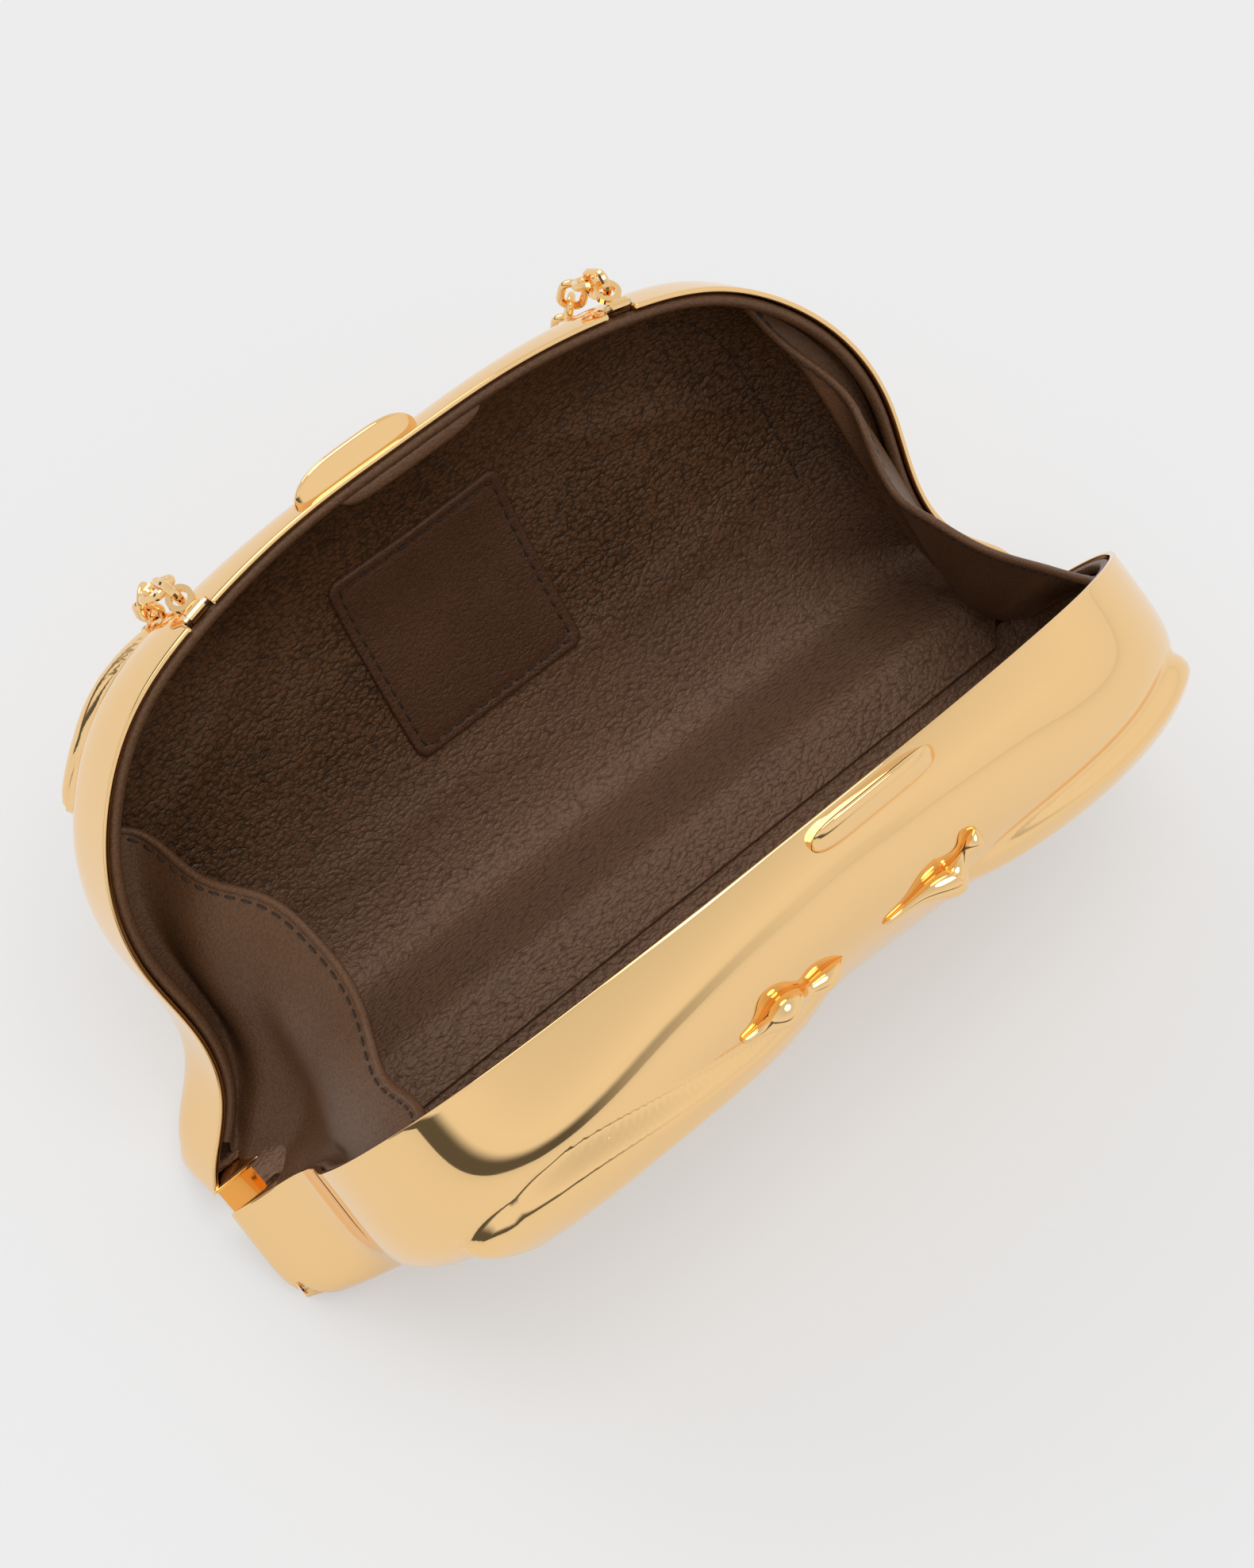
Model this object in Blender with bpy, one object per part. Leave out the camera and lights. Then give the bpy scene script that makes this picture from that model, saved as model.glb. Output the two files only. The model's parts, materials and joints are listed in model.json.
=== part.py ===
"""Hard-case evening clutch standing open: two gold shells on a base plate, leather lining, gussets and chain."""

import math

import bmesh
import bpy
import numpy as np
from mathutils import Matrix, Vector
from mathutils.bvhtree import BVHTree

# Case outline in the rim plane
# Right half of the outline, from the top centre to the foot corner, as (x, height).
OUTLINE = (
    (0.0, 0.0930),
    (0.0220, 0.0925),
    (0.0450, 0.0886),
    (0.0620, 0.0820),
    (0.0742, 0.0710),
    (0.0820, 0.0570),
    (0.0842, 0.0430),
    (0.0827, 0.0255),
    (0.0847, 0.0155),
    (0.0900, 0.0078),
    (0.0929, 0.0041),
    (0.0950, 0.0),
)
FACE_CENTRE_HEIGHT = 0.045

# Shell section
FOOT_DEPTH = 0.025
BODY_DEPTH = 0.0280
BODY_RISE = 0.045
RIM_CLEARANCE = 0.0002
WALL = 0.0010
# Degrees away from straight up, and how square the section is there
SECTION_ANGLES = (0, 30, 50, 70, 90, 105, 115.3, 126, 180)
SECTION_POWER_SHARES = (2.1, 2.3, 2.9, 5.0, 6.0, 6.0, 6.5, 8.0, 8.0)
# Raised petals by the degrees of their outer ends, with stations of (degrees, crease to rim, rise)
PETALS = {
    -76.0: (
        (-66.9, 0.0188, 0.0032),
        (-55.9, 0.0183, 0.0034),
        (-42.6, 0.0256, 0.0030),
        (-27.6, 0.0316, 0.0016),
        (-14.0, 0.0340, 0.0),
    ),
    83.0: (
        (77.7, 0.0196, 0.0032),
        (70.3, 0.0189, 0.0034),
        (61.7, 0.0248, 0.0032),
        (45.4, 0.0307, 0.0018),
        (34.0, 0.0330, 0.0),
    ),
}
# How far the petal takes to rise from its crease, to stay up and to sink back into the face
PETAL_EDGE = 0.0040
PETAL_TOP = 0.0080
PETAL_FALL = 0.0180
PETAL_CORNER_POWER = 4.0
SIDE_STEPS = 56
BASE_STEPS = 16
RING_TURN_SHARES = (0.0, 0.13, 0.27, 0.40, 0.50, 0.60, 0.77)
FACE_RING_SHARES = (0.84, 0.66, 0.48, 0.30, 0.13)
FOOT_DENSITY_SHARE = 0.9
FOOT_DENSITY_HEIGHT = 0.026

# Clearances
GAP = 0.0003
LINING_THICKNESS = 0.0012
LINING_RIM = 0.0030
PIPING_RADIUS = 0.0011
PIPING_END_HEIGHT = 0.0060

# Base plate and hinges
LEAN = math.radians(30.6)
PLATE_THICKNESS = 0.0016
PLATE_INSET = 0.0018
PLATE_HALF_LENGTH = OUTLINE[-1][0] - PLATE_INSET
# Half width of the plate as shares of the foot's depth, at shares of its half length
PLATE_SHARES = (0.0, 0.5, 0.8, 0.9, 0.965, 1.0)
PLATE_WIDTH_SHARES = (1.048, 1.02, 0.952, 0.888, 0.784, 0.72)
PLATE_EDGE_STEPS = 15
HINGE_DEPTH_SHARE = 0.7
HINGE_DEPTH = HINGE_DEPTH_SHARE * FOOT_DEPTH
BOTTOM_DROP = 0.0006
HINGE_INSET = 0.0028
HINGE_OFFSET = PLATE_HALF_LENGTH - HINGE_INSET
PIN_RADIUS = 0.0005
PIN_FIT = 0.00012
PIN_LENGTH = 0.0052
KNUCKLE_RADIUS = 0.0012
KNUCKLE_LENGTH = 0.0018
CHEEK_THICKNESS = 0.0012
NOTCH_RISE = 0.0029
KNUCKLE_REACH = 0.0010
PIN_HEIGHT = PLATE_THICKNESS + GAP + KNUCKLE_RADIUS

# Label patch
PATCH_CENTRE = (0.0005, 0.0493)
PATCH_SIZE = (0.0380, 0.0395)
PATCH_CORNER = 0.0025
PATCH_THICKNESS = 0.0012
PATCH_SIDE_STEPS = 5
PATCH_CORNER_STEPS = 3
PATCH_RING_SHARES = (1.0, 0.8, 0.6, 0.4, 0.2)

# Closure
TAB_LENGTH = 0.0253
TAB_RISE = 0.0048
TAB_CENTRE_X = 0.0087
TAB_DEPTHS = (0.0012, 0.0060)
TAB_CROWN_POWER = 0.62
TAB_END_POWER = 0.35
TAB_END_SHARE = 0.02
TAB_STEPS = 16
TAB_RING = 10
PAD_LENGTH = 0.0300
PAD_THICKNESS = 0.0030
PAD_DEPTHS = (0.0008, 0.0066)
PAD_END_SHARE = 0.1
PAD_STATIONS = 9

# Buds cast on the outer face, with stations of (x, depth, half width) over the face
BUDS = {
    "bud_right": (
        (0.0216, 0.0182, 0.0014),
        (0.0188, 0.0198, 0.0010),
        (0.0155, 0.0208, 0.0024),
        (0.0110, 0.0208, 0.0019),
        (0.0030, 0.0212, 0.0008),
    ),
    "bud_left": (
        (-0.0268, 0.0208, 0.0012),
        (-0.0222, 0.0206, 0.0016),
        (-0.0182, 0.0198, 0.0026),
        (-0.0138, 0.0207, 0.0013),
        (-0.0105, 0.0209, 0.0016),
        (-0.0058, 0.0210, 0.0008),
    ),
}
BUD_FLATNESS_SHARE = 0.6
BUD_STEPS = 17
BUD_RING = 10
BUD_END_POWER = 8
BUD_END_SHARE = 0.12

# Chain fittings
LUG_X = 0.0445
LUG_OUTSET = 0.0004
LUG_DEPTH = 0.0014
LUG_NOTCH = (0.0056, 0.0030)
LUG_PIN_RADIUS = 0.0006
SLEEVE_RADIUS = 0.00125
SLEEVE_LENGTH = 0.0034
EYE_RING_RADIUS = 0.0024
EYE_HOLE_RADIUS = 0.0014
EYE_THICKNESS = 0.0011
EYE_REACH = 0.0034
EYE_TILT = math.radians(52.0)
LINK_WIRE = 0.00075
LINK_LENGTH = 0.0084
LINK_WIDTH = 0.0056
LINK_SHIFT = 0.0002
LINK_DROP = math.radians(45.0)
LINK_TURN = math.radians(25.0)
LINK_STEPS = 24
LINK_RING = 8

# Chain strap behind the case: radius, and its low points as (x, y)
CHAIN_RADIUS = 0.0021
CHAIN_FLOOR_GAP = 0.0006
CHAIN_START_DROP = 0.0013
CHAIN_START_BACK = 0.0023
CHAIN_FLOOR = ((-0.0500, 0.0800), (-0.0310, 0.0890), (0.0, 0.0830), (0.0310, 0.0890), (0.0500, 0.0800))
CHAIN_DROP_SHARE = 0.5
CHAIN_POINTS = 72

# Gussets
GUSSET_THICKNESS = 0.0011
GUSSET_TOP_HEIGHT = 0.0600
GUSSET_BOTTOM_HEIGHT = 0.0095
GUSSET_DEPTH = 0.0065
GUSSET_FOLD_IN = 0.0110
GUSSET_FOLD_FOOT_SHARE = 0.35
GUSSET_FOLD_DROP = 0.0080
GUSSET_ROWS = 12
GUSSET_COLUMNS = 12
GUSSET_WALL_SPACE = 0.0006

# Floor strip
FLOOR_LENGTH = 0.156
FLOOR_WIDTH = 0.0150
FLOOR_THICKNESS = 0.0010
FLOOR_LIFT = 0.0008
FLOOR_CROWN = 0.0040
FLOOR_STEPS = 10

SIDE_NAMES = {-1: "left", 1: "right"}
ROUND_STEPS = 16
EYE_STEPS = 20
ARCH_STEPS = 8
# How finely the outline and the section are read
OUTLINE_SAMPLES = 2001
SECTION_SAMPLES = 121
PLACE_ROUNDS = 12

# Colours and finishes: base colour, roughness, metallic
GOLD = ((0.86, 0.62, 0.33), 0.06, 1.0)
PALE_METAL = ((0.72, 0.66, 0.54), 0.18, 1.0)
LEATHER = ((0.052, 0.027, 0.015), 0.55, 0.0)
LEATHER_SMOOTH = ((0.085, 0.048, 0.032), 0.48, 0.0)


def clear_scene():
    for item in list(bpy.data.objects):
        bpy.data.objects.remove(item, do_unlink=True)


def material(name, finish):
    colour, roughness, metallic = finish
    made = bpy.data.materials.new(name)
    made.use_nodes = True
    shader = made.node_tree.nodes["Principled BSDF"]
    shader.inputs["Base Color"].default_value = (*colour, 1.0)
    shader.inputs["Roughness"].default_value = roughness
    shader.inputs["Metallic"].default_value = metallic
    return made


def empty(name, parent=None, matrix=None):
    made = bpy.data.objects.new(name, None)
    bpy.context.scene.collection.objects.link(made)
    made.parent = parent
    if matrix is not None:
        made.matrix_local = matrix
    return made


def node(name, points, faces, finish, parent=None, sharp=40.0):
    mesh = bpy.data.meshes.new(name)
    mesh.from_pydata([tuple(map(float, point)) for point in points], [], faces)
    made = bmesh.new()
    made.from_mesh(mesh)
    bmesh.ops.recalc_face_normals(made, faces=made.faces)
    made.to_mesh(mesh)
    made.free()
    for polygon in mesh.polygons:
        polygon.use_smooth = True
    mesh.set_sharp_from_angle(angle=math.radians(sharp))
    mesh.materials.append(material(name, finish))
    built = bpy.data.objects.new(name, mesh)
    bpy.context.scene.collection.objects.link(built)
    built.parent = parent
    return built


def cutter(name, points, faces, parent):
    made = node(name, points, faces, GOLD, parent)
    made.hide_render = True
    made.display_type = "WIRE"
    return made


def boolean(target, tool, operation):
    made = target.modifiers.new(tool.name, "BOOLEAN")
    made.operation = operation
    made.solver = "EXACT"
    made.object = tool


def spline(points, count):
    """Natural cubic curve through the points, sampled evenly in chord length."""
    points = np.array(points)
    knots = np.concatenate([[0.0], np.cumsum(np.linalg.norm(np.diff(points, axis=0), axis=1))])
    spans = np.diff(knots)
    size = len(points)
    system = np.eye(size)
    right = np.zeros_like(points)
    slopes = np.diff(points, axis=0) / spans[:, None]
    for i in range(1, size - 1):
        system[i, i - 1] = spans[i - 1]
        system[i, i] = 2 * (spans[i - 1] + spans[i])
        system[i, i + 1] = spans[i]
        right[i] = 6 * (slopes[i] - slopes[i - 1])
    bends = np.linalg.solve(system, right)
    at = np.linspace(0.0, knots[-1], count)
    span = np.clip(np.searchsorted(knots, at, side="right") - 1, 0, size - 2)
    step = spans[span][:, None]
    late = (at - knots[span])[:, None]
    early = step - late
    return (
        (bends[span] * early**3 + bends[span + 1] * late**3) / (6 * step)
        + (points[span] / step - bends[span] * step / 6) * early
        + (points[span + 1] / step - bends[span + 1] * step / 6) * late
    )


class Outline:
    """The case outline moved inward by a distance, read as a radius about the face centre."""

    side = spline([(-x, h) for x, h in OUTLINE[:0:-1]] + list(OUTLINE), OUTLINE_SAMPLES)

    def __init__(self, inset):
        self.inset = inset
        along = np.gradient(self.side, axis=0)
        along /= np.linalg.norm(along, axis=1)[:, None]
        inward = np.stack([along[:, 1], -along[:, 0]], axis=1)
        curve = self.side + inset * inward
        tails = [curve[0] - 0.5 * FOOT_DEPTH * along[0], curve[-1] + 0.5 * FOOT_DEPTH * along[-1]]
        curve = np.vstack([tails[:1], curve, tails[1:]])
        about = curve - [0.0, FACE_CENTRE_HEIGHT]
        angles = np.arctan2(about[:, 0], about[:, 1])
        order = np.argsort(angles)
        self.angles = angles[order]
        self.radii = np.linalg.norm(about, axis=1)[order]
        spread = np.linspace(0.0, self.angles[-1], OUTLINE_SAMPLES)
        crossed = self.side_radius(spread) * -np.cos(spread) >= FACE_CENTRE_HEIGHT - inset
        self.corner = float(spread[np.argmax(crossed)])

    def side_radius(self, angle):
        return np.interp(angle, self.angles, self.radii)

    def radius(self, angle):
        """Radius at an angle from straight up, positive towards +x."""
        angle = np.arctan2(np.sin(angle), np.cos(angle))
        down = np.maximum(-np.cos(angle), 1e-9)
        base = np.where(np.abs(angle) >= self.corner, (FACE_CENTRE_HEIGHT - self.inset) / down, np.inf)
        return np.where(np.abs(angle) >= self.corner, base, self.side_radius(angle))

    def loop(self):
        """Angles of one loop of the section grid, with a point at each foot corner."""
        side = SHARES * self.corner
        base = np.linspace(self.corner, 2 * math.pi - self.corner, BASE_STEPS + 1)[1:-1]
        return np.concatenate([side, base])


def loop_shares():
    """Where the side points of a loop lie between the corners, closer together at the foot."""
    points = Outline.side
    angles = np.arctan2(points[:, 0], points[:, 1] - FACE_CENTRE_HEIGHT)
    lengths = np.linalg.norm(np.diff(points, axis=0), axis=1)
    middle = (points[1:, 1] + points[:-1, 1]) / 2
    weight = lengths * (1 + FOOT_DENSITY_SHARE * np.exp(-((middle / FOOT_DENSITY_HEIGHT) ** 2)))
    total = np.concatenate([[0.0], np.cumsum(weight)])
    chosen = np.interp(np.linspace(0.0, total[-1], SIDE_STEPS + 1), total, angles)
    return chosen / chosen[-1]


SHARES = loop_shares()


def section_power(angle):
    away = np.degrees(np.abs(np.arctan2(np.sin(angle), np.cos(angle))))
    return np.interp(away, SECTION_ANGLES, SECTION_POWER_SHARES)


def smooth(share):
    share = np.clip(share, 0.0, 1.0)
    return share * share * (3 - 2 * share)


def face_depth(x, height):
    """Depth of the outer face without its petals."""
    return FOOT_DEPTH + (BODY_DEPTH - FOOT_DEPTH) * smooth(height / BODY_RISE) + 0 * x


def petal_profile(past_edge, past_crease, breadth):
    """How far a petal stands up, as a share of its rise, past its nearest edge and past its crease."""
    up = np.clip(past_edge / PETAL_EDGE, 0.0, 1.0)
    down = smooth((past_crease - PETAL_EDGE - PETAL_TOP * breadth) / (PETAL_FALL * breadth + RIM_CLEARANCE))
    return up * (2 - up) * (1 - down)


def petal_rise(angle, along, radius):
    """Rise of the petals at an angle from straight up and a distance from the rim along the shell."""
    degrees = np.degrees(np.arctan2(np.sin(angle), np.cos(angle)))
    rise = np.zeros(np.broadcast(angle, along).shape)
    for end, stations in PETALS.items():
        away, creases, rises = np.array(sorted(stations)).T
        past_crease = along - np.interp(degrees, away, creases)
        past_end = np.radians(np.abs(end) - np.sign(end) * degrees) * radius
        inside = (past_crease > 0) & (past_end > 0)
        pair = np.stack([np.where(inside, past_crease, PETAL_EDGE), np.where(inside, past_end, PETAL_EDGE)])
        past_edge = (pair**-PETAL_CORNER_POWER).sum(axis=0) ** (-1 / PETAL_CORNER_POWER)
        top = np.interp(degrees, away, rises)
        profile = petal_profile(past_edge, past_crease, top / rises.max())
        rise = np.maximum(rise, np.where(inside, top * profile, 0.0))
    return rise


def outer_surface(angle, near, inset):
    """Point (x, depth, height) and outward direction of a plain section, near the rim at 1 and at its middle at 0."""
    radius = Outline(inset).radius(angle)
    power = section_power(angle)
    out = (1 - near**power) ** (1 / power)
    x = near * radius * np.sin(angle)
    height = FACE_CENTRE_HEIGHT + near * radius * np.cos(angle)
    full = face_depth(x, height) - inset - RIM_CLEARANCE
    across = near ** (power - 1) / radius
    deep = out ** (power - 1) / full
    facing = np.stack([across * np.sin(angle), deep + 0 * across, across * np.cos(angle)], axis=-1)
    facing /= np.linalg.norm(facing, axis=-1)[..., None]
    return np.stack([x, RIM_CLEARANCE + full * out, height], axis=-1), facing


def along_shell(angle, near):
    """Distance from the rim along the shell, at an angle."""
    turns = np.linspace(0.0, math.pi / 2, SECTION_SAMPLES)
    nears = np.cos(turns) ** (2 / section_power(angle))
    points = outer_surface(np.full(SECTION_SAMPLES, angle), nears, 0.0)[0]
    run = np.concatenate([[0.0], np.cumsum(np.linalg.norm(np.diff(points, axis=0), axis=1))])
    return np.interp(near, nears[::-1], run[::-1])


def section(inset, start, petals):
    """Rings of points (x, depth, height) from a starting depth to the middle of the face."""
    outline = Outline(inset)
    angles = outline.loop()
    radius = outline.radius(angles)
    power = section_power(angles)
    rim_depth = face_depth(radius * np.sin(angles), FACE_CENTRE_HEIGHT + radius * np.cos(angles)) - inset
    first = np.arcsin(((start - RIM_CLEARANCE) / rim_depth) ** (power / 2))
    turns = [first + share * (math.pi / 2 - first) for share in RING_TURN_SHARES]
    nears = [np.cos(turn) ** (2 / power) for turn in turns]
    nears += [share * nears[-1] for share in FACE_RING_SHARES]
    rings = []
    for near in nears:
        points, facing = outer_surface(angles, near, inset)
        if petals:
            along = np.array([along_shell(angle, share) for angle, share in zip(angles, near + 0 * angles)])
            points += petal_rise(angles, along, radius)[:, None] * facing
        rings.append(points)
    middle = face_depth(0.0, FACE_CENTRE_HEIGHT) - inset
    return rings, np.array([[0.0, middle, FACE_CENTRE_HEIGHT]])


def in_half(points, side):
    """Points (x, depth, height) in a half's own frame, whose origin lies on the hinge pin."""
    points = np.array(points)
    return np.stack([points[:, 0], side * (points[:, 1] - HINGE_DEPTH), points[:, 2] - BOTTOM_DROP], axis=1)


def bowl(name, side, outer, inner, start, petals, finish, parent):
    """A closed tray between two nested sections."""
    points = []
    layers = []
    for inset, with_petals in ((outer, petals), (inner, False)):
        rings, tip = section(inset, start, with_petals)
        first_point = len(points)
        for ring in rings:
            points.extend(ring)
        points.extend(tip)
        layers.append((first_point, len(rings), len(rings[0])))
    faces = []
    for flip, (base, rings, count) in zip((1, -1), layers):
        for ring in range(rings):
            for i in range(count):
                a = base + ring * count + i
                b = base + ring * count + (i + 1) % count
                if ring < rings - 1:
                    faces.append([a, b, b + count, a + count][::flip])
                else:
                    faces.append([a, b, base + rings * count][::flip])
    first, second = layers[0][0], layers[1][0]
    count = layers[0][2]
    for i in range(count):
        j = (i + 1) % count
        faces.append([first + j, first + i, second + i, second + j])
    return node(name, in_half(points, side), faces, finish, parent)


def box(lows, highs):
    points = [(x, y, z) for x in (lows[0], highs[0]) for y in (lows[1], highs[1]) for z in (lows[2], highs[2])]
    faces = [(0, 1, 3, 2), (4, 6, 7, 5), (0, 4, 5, 1), (2, 3, 7, 6), (0, 2, 6, 4), (1, 5, 7, 3)]
    return points, faces


def ring_solid(loops):
    """Closed solid through equal loops of points, capped at both ends."""
    count = len(loops[0])
    points = [point for loop in loops for point in loop]
    faces = []
    for level in range(len(loops) - 1):
        for i in range(count):
            j = (i + 1) % count
            faces.append((level * count + i, level * count + j, (level + 1) * count + j, (level + 1) * count + i))
    faces.append(tuple(range(count))[::-1])
    faces.append(tuple(range((len(loops) - 1) * count, len(loops) * count)))
    return points, faces


def torus_solid(loops):
    """Closed solid through a closed round of equal loops."""
    count = len(loops[0])
    points = [point for loop in loops for point in loop]
    faces = []
    for level in range(len(loops)):
        after = (level + 1) % len(loops)
        for i in range(count):
            j = (i + 1) % count
            faces.append((level * count + i, level * count + j, after * count + j, after * count + i))
    return points, faces


def cylinder(start, end, radius, segments):
    start, end = Vector(start), Vector(end)
    axis = (end - start).normalized()
    first = axis.orthogonal().normalized()
    second = axis.cross(first)
    loops = []
    for centre in (start, end):
        turns = [2 * math.pi * i / segments for i in range(segments)]
        spokes = [math.cos(turn) * first + math.sin(turn) * second for turn in turns]
        loops.append([centre + radius * spoke for spoke in spokes])
    return ring_solid(loops)


def pipe(start, end, radius, bore, segments):
    """A short tube: an annulus swept from start to end."""
    start, end = Vector(start), Vector(end)
    axis = (end - start).normalized()
    first = axis.orthogonal().normalized()
    second = axis.cross(first)
    loops = []
    for i in range(segments):
        turn = 2 * math.pi * i / segments
        spoke = math.cos(turn) * first + math.sin(turn) * second
        loops.append([start + radius * spoke, end + radius * spoke, end + bore * spoke, start + bore * spoke])
    return torus_solid(loops)


def tube(name, path, radius, finish, parent=None):
    """A round run along the path, as a bevelled curve with closed ends."""
    curve = bpy.data.curves.new(name, "CURVE")
    curve.dimensions = "3D"
    curve.bevel_depth = radius
    curve.bevel_resolution = 2
    curve.use_fill_caps = True
    line = curve.splines.new("POLY")
    line.points.add(len(path) - 1)
    for point, place in zip(line.points, path):
        point.co = (*map(float, place), 1.0)
    line.use_smooth = True
    curve.materials.append(material(name, finish))
    made = bpy.data.objects.new(name, curve)
    bpy.context.scene.collection.objects.link(made)
    made.parent = parent
    return made


def outline_height(x, inset):
    """Height of the dome at x, for the outline moved inward."""
    outline = Outline(inset)
    angles = np.linspace(-outline.corner, outline.corner, OUTLINE_SAMPLES)
    radius = outline.radius(angles)
    dome = np.abs(angles) < math.pi / 2
    across = radius[dome] * np.sin(angles[dome])
    return np.interp(x, across, FACE_CENTRE_HEIGHT + radius[dome] * np.cos(angles[dome]))


def side_x(height, inset):
    """Half width of the inset outline at a height on its straight part."""
    outline = Outline(inset)
    angles = np.linspace(LEAN, outline.corner, OUTLINE_SAMPLES)
    radius = outline.radius(angles)
    heights = FACE_CENTRE_HEIGHT + radius * np.cos(angles)
    return np.interp(height, heights[::-1], (radius * np.sin(angles))[::-1])


def piping(name, side, parent):
    """The rolled leather edge just inside the rim, open along the base."""
    inset = WALL + GAP + PIPING_RADIUS
    outline = Outline(inset)
    angles = SHARES * outline.corner
    radius = outline.radius(angles)
    x = radius * np.sin(angles)
    height = FACE_CENTRE_HEIGHT + radius * np.cos(angles)
    keep = height > PIPING_END_HEIGHT
    depth = np.full(keep.sum(), RIM_CLEARANCE + GAP + PIPING_RADIUS)
    path = in_half(np.stack([x[keep], depth, height[keep]], axis=1), side)
    return tube(name, path, PIPING_RADIUS, LEATHER_SMOOTH, parent)


def rounded_rectangle(width, height, corner, steps):
    """Outline of a rectangle with rounded corners, its long sides divided as well."""
    arcs = []
    for quarter, (across, up) in enumerate(((1, 1), (-1, 1), (-1, -1), (1, -1))):
        middle = np.array([across * (width / 2 - corner), up * (height / 2 - corner)])
        turns = math.pi / 2 * (quarter + np.linspace(0.0, 1.0, steps + 1))
        arcs.append(middle + corner * np.stack([np.cos(turns), np.sin(turns)], axis=1))
    points = []
    for arc, following in zip(arcs, arcs[1:] + arcs[:1]):
        points.extend(arc)
        for share in np.linspace(0.0, 1.0, PATCH_SIDE_STEPS + 1)[1:-1]:
            points.append(arc[-1] + share * (following[0] - arc[-1]))
    return np.array(points)


def label_patch(lining, parent):
    """A stitched-on patch that follows the back lining's face."""
    surface = BVHTree.FromPolygons([v.co for v in lining.data.vertices], [p.vertices for p in lining.data.polygons])
    outer = rounded_rectangle(*PATCH_SIZE, PATCH_CORNER, PATCH_CORNER_STEPS)
    loops = [outer * share + PATCH_CENTRE for share in PATCH_RING_SHARES]
    points = []
    for lift in (GAP, GAP + PATCH_THICKNESS):
        for loop in loops + [np.array([PATCH_CENTRE])]:
            for start in in_half([(x, 0.0, height) for x, height in loop], 1):
                hit = surface.ray_cast(Vector(start), Vector((0.0, 1.0, 0.0)))[0]
                points.append(hit - Vector((0.0, lift, 0.0)))
    count = len(outer)
    rings = len(loops)
    layer = rings * count + 1
    faces = []
    for flip, start in ((1, 0), (-1, layer)):
        for ring in range(rings):
            for i in range(count):
                a = start + ring * count + i
                b = start + ring * count + (i + 1) % count
                quad = [a, b, b + count, a + count] if ring < rings - 1 else [a, b, start + rings * count]
                faces.append(quad[::flip])
    for i in range(count):
        j = (i + 1) % count
        faces.append([j, i, layer + i, layer + j])
    return node("label_patch", points, faces, LEATHER, parent, 60.0)


def thumb_tab(name, side, centre, parent):
    """A long rounded thumb piece on the rim's top, seated just above the shell."""
    loops = []
    for i in range(TAB_STEPS + 1):
        share = -math.cos(math.pi * i / TAB_STEPS)
        width = max(1 - share**2, TAB_END_SHARE) ** TAB_END_POWER
        x = centre + share * TAB_LENGTH / 2
        middle = (TAB_DEPTHS[0] + TAB_DEPTHS[1]) / 2
        half = (TAB_DEPTHS[1] - TAB_DEPTHS[0]) / 2 * width
        rise = TAB_RISE * width
        loop = []
        for j in range(TAB_RING):
            turn = 2 * math.pi * j / TAB_RING
            across = math.copysign(abs(math.cos(turn)) ** TAB_CROWN_POWER, math.cos(turn))
            up = math.copysign(abs(math.sin(turn)) ** TAB_CROWN_POWER, math.sin(turn))
            depth = middle + half * across
            seat = tab_seat(x, depth)
            loop.append((x, depth, seat + GAP + rise * (1 + up) / 2))
        loops.append(loop)
    points, faces = ring_solid(loops)
    return node(name, in_half(points, side), faces, GOLD, parent, 50.0)


def tab_seat(x, depth):
    """Height of the shell's outside near the top of the dome."""
    share = (depth - RIM_CLEARANCE) / (face_depth(x, OUTLINE[0][1]) - RIM_CLEARANCE)
    power = SECTION_POWER_SHARES[0]
    fall = (1 - share**power) ** (1 / power)
    top = outline_height(x, 0.0)
    return FACE_CENTRE_HEIGHT + (top - FACE_CENTRE_HEIGHT) * fall


def closure_pad(name, side, parent):
    """A leather-covered bar under the rim that hides the closing magnet."""
    under = WALL + GAP + 2 * PIPING_RADIUS + GAP
    lining = WALL + GAP + LINING_THICKNESS + GAP
    fall = outline_height(0.0, 0.0) - tab_seat(0.0, PAD_DEPTHS[1])
    loops = []
    for share in np.linspace(-1.0, 1.0, PAD_STATIONS):
        x = share * PAD_LENGTH / 2
        upper = min(outline_height(x, under), outline_height(x, lining) - fall)
        lower = upper - PAD_THICKNESS * max(1 - abs(share) ** 3, PAD_END_SHARE)
        near, far = PAD_DEPTHS
        loops.append([(x, near, upper), (x, far, upper), (x, far, lower), (x, near, lower)])
    points, faces = ring_solid(loops)
    return node(name, in_half(points, side), faces, LEATHER_SMOOTH, parent, 30.0)


def face_place(x, depth):
    """Where the dome's roof reaches a depth, and the way it faces."""
    angle = 0.0
    for _ in range(PLACE_ROUNDS):
        angles = np.full(SECTION_SAMPLES, angle)
        nears = np.cos(np.linspace(0.0, math.pi / 2, SECTION_SAMPLES)) ** (2 / section_power(angle))
        points, facing = outer_surface(angles, nears, 0.0)
        near = np.interp(depth, points[:, 1], nears)
        height = np.interp(depth, points[:, 1], points[:, 2])
        angle = math.atan2(x, height - FACE_CENTRE_HEIGHT)
    point, facing = outer_surface(np.array([angle]), np.array([near]), 0.0)
    rise = petal_rise(angle, along_shell(angle, near), Outline(0.0).radius(angle))
    direction = Vector(facing[0])
    return Vector(point[0]) + float(rise) * direction, direction


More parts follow.
